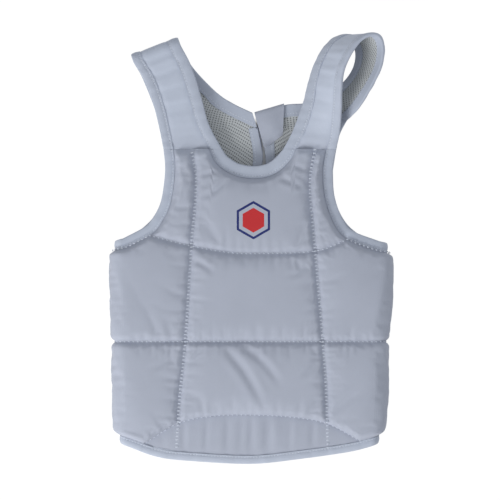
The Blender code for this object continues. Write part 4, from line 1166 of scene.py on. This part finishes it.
def bent_band(name, profile, thickness, inset, material):
    """Band of even thickness along a profile of places and heights."""
    profile = spline(profile, np.linspace(0, len(profile) - 1, 7 * (len(profile) - 1) + 1))
    run = np.gradient(profile, axis=0)
    normal = np.column_stack([-run[:, 1], run[:, 0]])
    normal /= np.linalg.norm(normal, axis=1)[:, None]
    skins = []
    for lift in (-thickness / 2, thickness / 2):
        place, height = (profile + normal * lift).T
        skins.append(tab_skin(place, height, inset))
    rows, columns = skins[0].shape[:2]
    middle = (skins[0] + skins[1]) / 2
    across = walked(middle[rows // 2])[None, :]
    along = walked(middle[:, columns // 2])[:, None]
    uv = np.stack(np.broadcast_arrays(across, along), axis=-1).reshape(-1, 2)
    faces = grid_faces(rows, columns)
    points = skins[1].reshape(-1, 3)
    up = normals_of(points, faces)[len(points) // 2]
    if up[2] < 0:
        faces = faces[:, ::-1]
    band = slab(name, skins[0].reshape(-1, 3), points, faces, uv, material)
    return band, (float(across[0, -1]), float(along[-1, 0]))


def make_closures(paint):
    """Upper band flopped over the neckline, lower band folded back, and their patches."""
    over = BACK_LEVEL + EDGE
    rest = over + FIT + HOOK + FIT + BAND / 2
    out = -BAND / 2 - FIT
    profile = [(out - FIT - 0.0006, 0.0006), (out - EDGE, over - LINING),
               (out + 0.0006, rest - 0.0006), (0.0030, rest), (0.0100, rest)]
    profile += [(UPPER_LENGTH * share, rest + TAB_CURL * lift)
                for share, lift in ((0.45, 0.03), (0.65, 0.07), (0.84, 0.32), (0.95, 0.72), (1, 1))]
    band, flat = bent_band("upper_tab", profile, BAND, 0.0, paint["fabric_plain"])
    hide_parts("upper_closure_band")
    low = over + FIT + HOOK / 2
    hooks = [(place, low) for place in np.linspace(*HOOK_PLACE, 5)]
    hook, flat = bent_band("upper_hook_tape", hooks, HOOK, 0.08, paint["hook"])
    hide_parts("upper_closure_hook")
    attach(band, "upper_closure")
    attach(hook, "upper_closure")
    for node, (centre, size, side, slot, finish) in PATCHES.items():
        piece = flat_patch(node + "_tape", centre, size, TAPE, paint[finish])
        moving = side == "right"
        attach(piece, "lower_closure" if moving else "back_" + side)
        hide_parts(node)


# ---------------------------------------------------------------- stitches

STITCH_RADIUS = 0.00062
STITCH_SHARE = 0.80         # place of the stitch line on a tape
STITCH_PLACE = 0.0030       # the cloth place runs this far from tip to tip of a stitch
STITCH_HALF = 0.47          # half a stitch as a share of the way from one to the next
STITCH_RING = 0.55          # place of its rings between its middle and its tips
BAR_THICK = 1.35            # a bar's thread is this many times as thick
SHARED = {}                 # sheets of the straps and paths on the back, for their stitches


def stitch_row(path, normals, pitch, reach=0.0, slant=1.0):
    """Stitches along a path on a surface: spindles of two rings of five points and two tips.
    Each runs a share of the pitch along the path, and a bar also reaches across it."""
    radius = STITCH_RADIUS * (BAR_THICK if reach else 1.0)
    length = walked(path)
    at = np.arange(pitch / 2, length[-1], pitch)
    centre = np.column_stack([np.interp(at, length, axis) for axis in path.T])
    run = np.column_stack([np.interp(at, length, axis) for axis in np.gradient(path, axis=0).T])
    up = np.column_stack([np.interp(at, length, axis) for axis in normals.T])
    run /= np.linalg.norm(run, axis=1)[:, None]
    up /= np.linalg.norm(up, axis=1)[:, None]
    side = np.cross(run, up)
    run = run * pitch * slant + side * reach * 2
    run /= np.linalg.norm(run, axis=1)[:, None]
    side = np.cross(run, up)
    half = STITCH_HALF * math.hypot(pitch * slant, 2 * reach)
    angle = np.arange(5) * 2 * math.pi / 5
    ring = (up[:, None] * 0.7 * np.cos(angle)[None, :, None]
            + side[:, None] * np.sin(angle)[None, :, None]) * radius
    low = centre - up * radius * 0.5
    first = low - run * half
    last = low + run * half
    shift = run[:, None] * half * STITCH_RING
    points = np.concatenate([first[:, None], centre[:, None] - shift + ring,
                             centre[:, None] + shift + ring, last[:, None]], axis=1)
    i = np.arange(5)
    j = (i + 1) % 5
    shape = np.vstack([np.column_stack([0 * i, 1 + i, 1 + j]),
                       np.column_stack([1 + i, 6 + i, 6 + j]),
                       np.column_stack([1 + i, 6 + j, 1 + j]),
                       np.column_stack([6 + i, 11 + 0 * i, 6 + j])])
    faces = (shape[None] + 12 * np.arange(len(at))[:, None, None]).reshape(-1, 3)
    points = points.reshape(-1, 3)
    p = points[faces]
    outward = ((np.cross(p[:, 1] - p[:, 0], p[:, 2] - p[:, 0]))
               * (p.mean(1) - np.repeat(centre, 20, axis=0))).sum(1)
    faces = np.where((outward < 0)[:, None], faces[:, ::-1], faces)
    level = np.array([0.0] + [0.15] * 5 + [0.85] * 5 + [1.0]) * STITCH_PLACE
    uv = np.column_stack([np.repeat(at, 12), np.tile(level, len(at))])
    return points, faces, uv


def front_row(flat, lift, pitch, reach=0.0, slant=1.0):
    """Stitches along a flat path of the front."""
    angle = roll_angle(flat)[1]
    normals = np.column_stack([np.sign(flat[:, 0]) * np.sin(angle), 0 * angle, np.cos(angle)])
    path = roll(flat, lift)
    path[:, 2] = np.maximum(path[:, 2], 2 * STITCH_RADIUS)
    return stitch_row(path, normals, pitch, reach, slant)


def front_stitches(sizes):
    """Stitch rows on the front: the seams between the cells, and the tapes."""
    rows = []
    on_seam = STACK + SEAM_SHARE * sizes.foam + BAR_LIFT
    level = (LEVEL_PITCH, LEVEL_REACH, LEVEL_SLANT)
    for side, word in SIDES.items():
        seam = np.vstack([CELLS["belly_" + word][:, -1], CELLS["rib_" + word][1:, -1],
                          CELLS["chest_" + word][1:, -1]])
        rows.append(front_row(seam, on_seam, BAR_PITCH, BAR_REACH, BAR_SLANT))
        foot = np.linspace(seam[0], (UPRIGHT_LINE[side][-1][0], STITCH_FOOT), 12)
        rows.append(front_row(foot, STACK + BAR_LIFT, BAR_PITCH, BAR_REACH, BAR_SLANT))
        edge, inner = ARMS[side]
        rows.append(front_row(spread(edge, inner, STITCH_SHARE), TAPE_SEAM, sizes.stitch))
    for row in ("rib", "belly"):
        for word in ("left", "centre", "right"):
            rows.append(front_row(CELLS[f"{row}_{word}"][-1], on_seam - BAR_LIFT / 2, *level))
    for word in ("left", "centre", "right"):
        arch = CELLS["belly_" + word][0]
        start = ROLL_STEPS if word != "centre" else 0
        rows.append(front_row(arch[start:], STACK + 0.0004, *level))
    for edge, inner in (NECK, HEM):
        rows.append(front_row(spread(edge, inner, STITCH_SHARE), TAPE_SEAM, sizes.stitch))
    return rows


def strap_stitches(sheet, sizes):
    """Stitch rows on both faces of a strap, along its two tapes."""
    rows = []
    for edge, band in ((0, NECK_BAND), (1, ARM_BAND)):
        step = (band * STITCH_SHARE / sheet.width)[:, None]
        share = step if edge == 0 else 1 - step
        for lift, way in ((TAPE_SEAM, 1), (-EDGE, -1)):
            path = sheet.points(share, lift)[:, 0]
            normals = (sheet.points(share, lift + 0.001 * way)[:, 0] - path)
            rows.append(stitch_row(path, normals, sizes.stitch))
    return rows


def make_stitches(sizes, paint):
    """Thread of all the seams, one piece for each body that carries it."""
    rows = front_stitches(sizes)
    thread = join("front_stitching", rows, paint["thread"])
    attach(thread, "front")
    for side, word in SIDES.items():
        thread = join("strap_stitching_" + word, strap_stitches(SHARED["strap", side], sizes),
                      paint["thread"])
        bend_with_back(thread)
        rows = []
        for path in SHARED["back", side]:
            for level, way in ((BACK_LEVEL + EDGE, 1.0), (0.00025, -1.0)):
                line = np.column_stack([path[:, :2], np.full(len(path), level)])
                rows.append(stitch_row(line, np.tile([0, 0, way], (len(path), 1)), sizes.stitch))
        thread = join("back_stitching_" + word, rows, paint["thread"])
        bend_with_back(thread)


# ---------------------------------------------------------------- materials

def add(tree, kind, *inputs, **settings):
    """A node with its settings; its first inputs are given as links or values."""
    new = tree.nodes.new(kind)
    for name, value in settings.items():
        setattr(new, name, value)
    for socket, value in zip(new.inputs, inputs):
        if isinstance(value, bpy.types.NodeSocket):
            tree.links.new(value, socket)
        elif value is not None:
            socket.default_value = value
    return new


def maths(tree, operation, *inputs):
    """Result of a maths node."""
    return add(tree, "ShaderNodeMath", *inputs, operation=operation).outputs[0]


def group_of(name, inputs, outputs, fill):
    """A node group, made once: its sockets, and the nodes that the function fills in."""
    if name in bpy.data.node_groups:
        return bpy.data.node_groups[name]
    tree = bpy.data.node_groups.new(name, "ShaderNodeTree")
    for label, kind in inputs:
        tree.interface.new_socket(label, in_out="INPUT", socket_type="NodeSocket" + kind)
    for label, kind in outputs:
        tree.interface.new_socket(label, in_out="OUTPUT", socket_type="NodeSocket" + kind)
    source = tree.nodes.new("NodeGroupInput")
    target = tree.nodes.new("NodeGroupOutput")
    results = fill(tree, *source.outputs[:len(inputs)])
    for socket, result in zip(target.inputs, results):
        tree.links.new(result, socket)
    return tree


def waves(tree, place, pitch):
    """Cosines of both cloth directions: cos(2 pi x / pitch) and cos(2 pi y / pitch)."""
    parts = add(tree, "ShaderNodeSeparateXYZ", place).outputs
    turns = maths(tree, "DIVIDE", 2 * math.pi, pitch)
    return [maths(tree, "COSINE", maths(tree, "MULTIPLY", part, turns)) for part in parts[:2]]


def noise(tree, place, scale, detail=3.0, roughness=0.55):
    """Noise of a place in metres."""
    return add(tree, "ShaderNodeTexNoise", place, None, scale, detail, roughness).outputs[0]


def weave_nodes(tree, place, pitch):
    """Plain weave: the larger of the two thread cosines, with uneven fibres. The tint is
    slow noise about one, for folds and handling marks."""
    x, y = waves(tree, place, pitch)
    threads = maths(tree, "MAXIMUM", x, y)
    fibres = noise(tree, place, 900.0, 2.0)
    height = maths(tree, "MULTIPLY_ADD", fibres, 0.9, maths(tree, "MULTIPLY", threads, 0.35))
    slow = maths(tree, "MULTIPLY_ADD", noise(tree, place, 14.0, 4.0), 0.13, 0.935)
    tint = maths(tree, "MULTIPLY_ADD", maths(tree, "SUBTRACT", fibres, 0.5), 0.10, slow)
    return height, tint


ROOT_TWO = 1.414            # the lattice of the holes stands on its corners


def knit_nodes(tree, place, pitch):
    """Warp knit: holes where the product of the two cosines is high, which sets them on two
    staggered lattices, and threads that bulge between them."""
    x, y = waves(tree, place, maths(tree, "MULTIPLY", pitch, ROOT_TWO))
    product = maths(tree, "MULTIPLY", x, y)
    uneven = maths(tree, "MULTIPLY_ADD", maths(tree, "SUBTRACT", noise(tree, place, 260.0), 0.5),
                   0.35, product)
    # the mask of the holes also marks where the lining gets painted shade
    shaded_hole = add(tree, "ShaderNodeMapRange", uneven, 0.30, 0.62, 0.0, 1.0,
               interpolation_type="SMOOTHSTEP").outputs[0]
    threads = maths(tree, "MULTIPLY", noise(tree, place, 1500.0), 0.4)
    return shaded_hole, maths(tree, "SUBTRACT", threads, shaded_hole)


def rib_nodes(tree, place, pitch):
    """Ribbed tape: fine ridges across the tape, with uneven fibres, and a slow tint."""
    ridges = waves(tree, place, pitch)[0]
    fibres = noise(tree, place, 1100.0, 2.0)
    height = maths(tree, "MULTIPLY_ADD", ridges, 0.45, fibres)
    tint = maths(tree, "MULTIPLY_ADD", noise(tree, place, 25.0), 0.12, 0.94)
    return height, tint


def nap_nodes(tree, place, pitch):
    """Nap of hook and loop tape: cells of the pitch, roughened by noise."""
    scale = maths(tree, "DIVIDE", 1.0, pitch)
    cells = add(tree, "ShaderNodeTexVoronoi", place, None, scale).outputs[0]
    fibres = noise(tree, place, 1800.0)
    height = maths(tree, "MULTIPLY_ADD", cells, -0.8, fibres)
    # painted shade: the tint darkens where the nap sinks between its cells
    tint = maths(tree, "MULTIPLY_ADD", cells, -0.25, 1.08)
    return height, tint


BADGE_CENTRE = (0.0027, 0.0406)
BADGE_SIZE = 0.0250


def hexagon_nodes(tree, place, pitch):
    """Hexagon about a centre: the distance is the larger of |x| and |x|/2 + 0.866 |y|. The
    fill lies within 0.60 of the size, the line between 0.80 and 0.93 of it."""
    centred = add(tree, "ShaderNodeVectorMath", place, (*BADGE_CENTRE, 0), operation="SUBTRACT")
    parts = add(tree, "ShaderNodeSeparateXYZ", centred.outputs[0]).outputs
    x, y = (maths(tree, "ABSOLUTE", part) for part in parts[:2])
    slanted = maths(tree, "MULTIPLY_ADD", y, 0.866, maths(tree, "MULTIPLY", x, 0.5))
    far = maths(tree, "DIVIDE", maths(tree, "MAXIMUM", x, slanted), pitch)
    frayed = maths(tree, "MULTIPLY_ADD", maths(tree, "SUBTRACT", noise(tree, place, 1300.0), 0.5),
                   0.03, far)
    fill = maths(tree, "LESS_THAN", frayed, 0.60)
    line = maths(tree, "MULTIPLY", maths(tree, "GREATER_THAN", frayed, 0.80),
                 maths(tree, "LESS_THAN", frayed, 0.93))
    return fill, line


EFFECTS = {
    "woven_cloth": (weave_nodes, ("Height", "Tint")),
    "knit_mesh": (knit_nodes, ("Hole", "Height")),
    "ribbed_tape": (rib_nodes, ("Height", "Tint")),
    "napped_tape": (nap_nodes, ("Height", "Tint")),
    "hexagon": (hexagon_nodes, ("Fill", "Line")),
}


def effect(tree, name, place, pitch):
    """Outputs of a shared effect in a material."""
    fill, words = EFFECTS[name]
    made = group_of(name, (("Place", "Vector"), ("Pitch", "Float")),
                    [(word, "Float") for word in words], fill)
    use = tree.nodes.new("ShaderNodeGroup")
    use.node_tree = made
    tree.links.new(place, use.inputs[0])
    use.inputs[1].default_value = pitch
    return use.outputs[0], use.outputs[1]


def mixed(tree, mask, one, two):
    """Colour one where the mask is 0, colour two where it is 1."""
    mix = add(tree, "ShaderNodeMix", data_type="RGBA")
    sockets = {socket.identifier: socket for socket in mix.inputs}
    for key, value in (("Factor_Float", mask), ("A_Color", one), ("B_Color", two)):
        if isinstance(value, bpy.types.NodeSocket):
            tree.links.new(value, sockets[key])
        else:
            sockets[key].default_value = value
    return next(socket for socket in mix.outputs if socket.identifier == "Result_Color")


def tinted(tree, tint, colour):
    """A colour times a tint."""
    scale = add(tree, "ShaderNodeVectorMath", None, operation="SCALE")
    scale.inputs["Scale"].default_value = 1.0
    tree.links.new(tint, scale.inputs["Scale"])
    if isinstance(colour, bpy.types.NodeSocket):
        tree.links.new(colour, scale.inputs[0])
    else:
        scale.inputs[0].default_value = colour[:3]
    return scale.outputs[0]


def cloth_material(name, colour, height_of, roughness, bump, sheen):
    """Principled cloth. The function gives the colour and the height at the cloth's place."""
    if name in bpy.data.materials:
        return bpy.data.materials[name]
    material = bpy.data.materials.new(name)
    material.use_nodes = True
    tree = material.node_tree
    shader = tree.nodes["Principled BSDF"]
    place = add(tree, "ShaderNodeUVMap", uv_map="cloth").outputs[0]
    shown, height = height_of(tree, place)
    tree.links.new(shown, shader.inputs["Base Color"])
    shader.inputs["Roughness"].default_value = roughness
    shader.inputs["Sheen Weight"].default_value = sheen
    shader.inputs["Sheen Roughness"].default_value = 0.4
    shader.inputs["Specular IOR Level"].default_value = 0.35
    relief = add(tree, "ShaderNodeBump", 1.0, bump)
    tree.links.new(height, relief.inputs["Height"])
    tree.links.new(relief.outputs[0], shader.inputs["Normal"])
    material.diffuse_color = (*colour, 1.0)
    return material


PALING = (0.100, 0.180)     # heights between which the cloth turns to the straps' colour
WEAVE = 0.0011              # pitch of the threads in the quilted fabric
FINE_WEAVE = 0.0007         # and in that of the straps and the back


def make_paint(colours, sizes):
    """All the materials by name."""
    def plain(kind, colour, pitch):
        def nodes(tree, place):
            height, tint = effect(tree, kind, place, pitch)
            return tinted(tree, tint, colour), height
        return nodes

    def paling(tree):
        """Cloth colour that turns from the chest's to the straps' between two heights."""
        place = add(tree, "ShaderNodeTexCoord").outputs["Object"]
        upward = add(tree, "ShaderNodeSeparateXYZ", place).outputs[1]
        share = add(tree, "ShaderNodeMapRange", upward, *PALING, 0.0, 1.0,
                    interpolation_type="SMOOTHSTEP").outputs[0]
        return mixed(tree, share, (*colours.fabric, 1), (*colours.satin, 1))

    def strap_cloth(tree, place):
        height, tint = effect(tree, "woven_cloth", place, FINE_WEAVE)
        return tinted(tree, tint, paling(tree)), height

    def printed(tree, place):
        height, tint = effect(tree, "woven_cloth", place, WEAVE)
        fill, line = effect(tree, "hexagon", place, BADGE_SIZE)
        shown = mixed(tree, fill, paling(tree), (*colours.badge, 1))
        shown = mixed(tree, line, shown, (*colours.outline, 1))
        return tinted(tree, tint, shown), height

    def knitted(tree, place):
        shaded_hole, height = effect(tree, "knit_mesh", place, sizes.mesh_pitch)
        tint = maths(tree, "MULTIPLY_ADD", noise(tree, place, 20.0), 0.16, 0.92)
        # painted shade: the holes of the lining are opaque and dark, standing in for the shade seen
        # through them
        shown = mixed(tree, shaded_hole, (*colours.mesh, 1), (*colours.shaded_hole, 1))
        return tinted(tree, tint, shown), height

    def sewn(tree, place):
        """Thread with painted shade at both tips, where it goes down into the cloth."""
        height, tint = effect(tree, "ribbed_tape", place, 0.0009)
        across = add(tree, "ShaderNodeSeparateXYZ", place).outputs[1]
        middle = maths(tree, "ABSOLUTE", maths(tree, "SUBTRACT", across, STITCH_PLACE / 2))
        # painted shade: the thread turns to the dark shade colour towards both tips
        tip = add(tree, "ShaderNodeMapRange", middle, 0.36 * STITCH_PLACE, 0.48 * STITCH_PLACE,
                  0.0, 1.0, interpolation_type="SMOOTHSTEP").outputs[0]
        return tinted(tree, tint, mixed(tree, tip, (*colours.thread, 1),
                                        (*colours.needle_shade, 1))), height

    return {
        "fabric": cloth_material("quilted_fabric", colours.fabric, printed, 0.80, 0.00012, 0.25),
        "fabric_plain": cloth_material("plain_fabric", colours.fabric,
                                       plain("woven_cloth", colours.fabric, WEAVE),
                                       0.80, 0.00012, 0.25),
        "satin": cloth_material("smooth_fabric", colours.satin, strap_cloth, 0.58, 0.00006,
                                0.2),
        "tape": cloth_material("binding_tape", colours.tape,
                               plain("ribbed_tape", colours.tape, 0.0012), 0.70, 0.00010, 0.2),
        "mesh": cloth_material("knit_lining", colours.mesh, knitted, 0.85, 0.00035, 0.2),
        "foam": cloth_material("foam_core", colours.foam,
                               plain("napped_tape", colours.foam, 0.0012), 0.95, 0.00020, 0.0),
        "hook": cloth_material("hook_side", colours.hook,
                               plain("napped_tape", colours.hook, 0.0015), 0.70, 0.00030, 0.1),
        "loop": cloth_material("loop_side", colours.hook,
                               plain("napped_tape", colours.hook, 0.0009), 0.95, 0.00040, 0.5),
        "elastic": cloth_material("elastic_band", colours.tape,
                                  plain("ribbed_tape", colours.tape, 0.0020), 0.75, 0.00025, 0.1),
        "thread": cloth_material("thread", colours.thread, sewn, 0.55, 0.00008, 0.1),
    }


# ---------------------------------------------------------------- stage

PIXEL = 0.0014              # size of a pixel of the photograph on the vest
IMAGE = 500
VIEW_CENTRE = (-0.0021, -0.0011)
SENSOR = 36.0
FLOOR_REACH = 4.0
FLOOR_DROP = 0.0003         # the floor lies this far below the vest
GLOW = 1.06                 # brightness that the camera sees on the floor
GLOW_SHARE = 0.93           # and its share; the rest is lit, so shadows show
SHADE_PLACE = (0.036, 0.130, 0.0)    # floor inside the standing strap, which is only lit:
SHADE_SCALE = (3.0, 1.0, 1.0)        # its centre and distances are scaled by this
SHADE_REACH = (0.045, 0.062)         # distances between which the glow comes back
LIGHTS = (("key", (-1.55, -1.75, 1.40), 1.3, 52.0, (1.0, 0.985, 0.96)),
          ("fill", (2.20, 1.60, 2.60), 2.4, 16.0, (0.93, 0.96, 1.0)))
SKY = (0.97, 0.985, 1.0, 1.0)
SKY_STRENGTH = 0.46


def make_stage(sizes, colours):
    """Pale floor, soft light from the lower left, and the camera straight above."""
    mesh = bpy.data.meshes.new("floor")
    mesh.from_pydata([(x * FLOOR_REACH, y * FLOOR_REACH, 0)
                      for x, y in ((-1, -1), (1, -1), (1, 1), (-1, 1))], [], [(0, 1, 2, 3)])
    floor = bpy.data.objects.new("floor", mesh)
    bpy.context.scene.collection.objects.link(floor)
    floor.location.z = -FLOOR_DROP
    material = bpy.data.materials.new("floor_paint")
    material.use_nodes = True
    tree = material.node_tree
    shader = tree.nodes["Principled BSDF"]
    grain = noise(tree, add(tree, "ShaderNodeTexCoord").outputs["Object"], 40.0)
    tint = maths(tree, "MULTIPLY_ADD", grain, 0.02, 0.99)
    tree.links.new(tinted(tree, tint, colours.floor), shader.inputs["Base Color"])
    shader.inputs["Roughness"].default_value = 0.9
    glow = add(tree, "ShaderNodeEmission", (1, 1, 1, 1), GLOW)
    rays = add(tree, "ShaderNodeLightPath").outputs
    seen = maths(tree, "MAXIMUM", rays["Is Camera Ray"],
                 maths(tree, "MAXIMUM", rays["Is Glossy Ray"], rays["Is Transmission Ray"]))
    place = add(tree, "ShaderNodeTexCoord").outputs["Object"]
    narrow = add(tree, "ShaderNodeVectorMath", place, SHADE_SCALE, operation="MULTIPLY")
    nearby = add(tree, "ShaderNodeVectorMath", narrow.outputs[0], SHADE_PLACE,
                 operation="DISTANCE")
    open_floor = add(tree, "ShaderNodeMapRange", nearby.outputs["Value"], *SHADE_REACH, 0.0, 1.0,
                     interpolation_type="SMOOTHSTEP").outputs[0]
    share = maths(tree, "MULTIPLY", maths(tree, "MULTIPLY", seen, GLOW_SHARE), open_floor)
    mix = add(tree, "ShaderNodeMixShader", share, shader.outputs[0], glow.outputs[0])
    tree.links.new(mix.outputs[0], tree.nodes["Material Output"].inputs["Surface"])
    floor.data.materials.append(material)

    for name, place, size, power, colour in LIGHTS:
        data = bpy.data.lights.new(name, "AREA")
        data.size = size
        data.energy = power
        data.color = colour
        light = bpy.data.objects.new(name, data)
        light.location = place
        light.rotation_euler = (-light.location).to_track_quat("-Z", "Y").to_euler()
        bpy.context.scene.collection.objects.link(light)
    world = bpy.data.worlds.new("studio")
    world.use_nodes = True
    background = world.node_tree.nodes["Background"]
    background.inputs[0].default_value = SKY
    background.inputs[1].default_value = SKY_STRENGTH
    bpy.context.scene.world = world
    bpy.context.scene.view_settings.view_transform = "Standard"

    data = bpy.data.cameras.new("camera")
    data.sensor_width = SENSOR
    data.lens = SENSOR * sizes.distance / (PIXEL * IMAGE)
    camera = bpy.data.objects.new("camera", data)
    camera.location = (*VIEW_CENTRE, FRONT_LEVEL + STACK + sizes.distance)
    bpy.context.scene.collection.objects.link(camera)
    bpy.context.scene.camera = camera


# ---------------------------------------------------------------- operators and panel

def paint_of(context):
    """Materials in the scene's colours and sizes."""
    return make_paint(context.scene.vest_colours, context.scene.vest_sizes)


class VEST_OT_front(bpy.types.Operator):
    """Build the quilted front, its foam, its lining and its edge tapes"""
    bl_idname = "vest.front"
    bl_label = "Padded front"

    def execute(self, context):
        sizes, paint = context.scene.vest_sizes, paint_of(context)
        make_cover(sizes, paint)
        make_foam(sizes, paint)
        make_front_lining(paint)
        for side, word in SIDES.items():
            sections, around = panel_tape(*ARMS[side], ARM_BAND, 11 + side)
            finish_tape("arm_tape_front_" + word, sections, around, paint, "arm_tape_" + word)
        sections, around = panel_tape(*NECK, NECK_BAND, 14)
        finish_tape("neck_tape_front", sections, around, paint, "neck_tape")
        sections, around = panel_tape(*HEM, HEM_BAND, 15)
        finish_tape("hem_tape_front", sections, around, paint, "front_hem_tape")
        return {"FINISHED"}


class VEST_OT_straps(bpy.types.Operator):
    """Build both shoulder straps with their linings and tapes"""
    bl_idname = "vest.straps"
    bl_label = "Shoulder straps"

    def execute(self, context):
        for side in SIDES:
            SHARED["strap", side] = make_strap(side, paint_of(context))
        return {"FINISHED"}


class VEST_OT_back(bpy.types.Operator):
    """Build both back halves with their linings and tapes"""
    bl_idname = "vest.back"
    bl_label = "Back halves"

    def execute(self, context):
        for side in SIDES:
            SHARED["back", side] = make_back(side, paint_of(context))
        return {"FINISHED"}


class VEST_OT_closures(bpy.types.Operator):
    """Build the upper tab, the lower band and their hook and loop patches"""
    bl_idname = "vest.closures"
    bl_label = "Closures"

    def execute(self, context):
        make_closures(paint_of(context))
        return {"FINISHED"}


class VEST_OT_stitches(bpy.types.Operator):
    """Lay the thread along the seams and tapes; the straps and the back come first"""
    bl_idname = "vest.stitches"
    bl_label = "Stitches"

    def execute(self, context):
        make_stitches(context.scene.vest_sizes, paint_of(context))
        return {"FINISHED"}


class VEST_OT_stage(bpy.types.Operator):
    """Build the floor, the lights and the camera"""
    bl_idname = "vest.stage"
    bl_label = "Stage"

    def execute(self, context):
        make_stage(context.scene.vest_sizes, context.scene.vest_colours)
        return {"FINISHED"}


class VEST_PT_panel(bpy.types.Panel):
    """Sizes, colours and one button for each group of pieces"""
    bl_label = "Vest"
    bl_idname = "VEST_PT_panel"
    bl_space_type = "VIEW_3D"
    bl_region_type = "UI"
    bl_category = "Vest"

    def draw(self, context):
        layout = self.layout
        for name in VestSizes.__annotations__:
            layout.prop(context.scene.vest_sizes, name)
        for name in VestColours.__annotations__:
            layout.prop(context.scene.vest_colours, name)
        for operator in OPERATORS:
            layout.operator(operator.bl_idname)


OPERATORS = (VEST_OT_front, VEST_OT_straps, VEST_OT_back, VEST_OT_closures, VEST_OT_stitches,
             VEST_OT_stage)
CLASSES = (VestSizes, VestColours, *OPERATORS, VEST_PT_panel)


def register():
    """Register the classes and hang the sizes and colours on the scene."""
    for item in CLASSES:
        bpy.utils.register_class(item)
    bpy.types.Scene.vest_sizes = bpy.props.PointerProperty(type=VestSizes)
    bpy.types.Scene.vest_colours = bpy.props.PointerProperty(type=VestColours)


def unregister():
    """Take the sizes, the colours and the classes away again."""
    del bpy.types.Scene.vest_colours
    del bpy.types.Scene.vest_sizes
    for item in reversed(CLASSES):
        bpy.utils.unregister_class(item)


def main():
    """Build the whole vest and its stage."""
    register()
    bpy.ops.vest.front()
    bpy.ops.vest.straps()
    bpy.ops.vest.back()
    bpy.ops.vest.closures()
    bpy.ops.vest.stitches()
    bpy.ops.vest.stage()


if __name__ == "__main__":
    main()
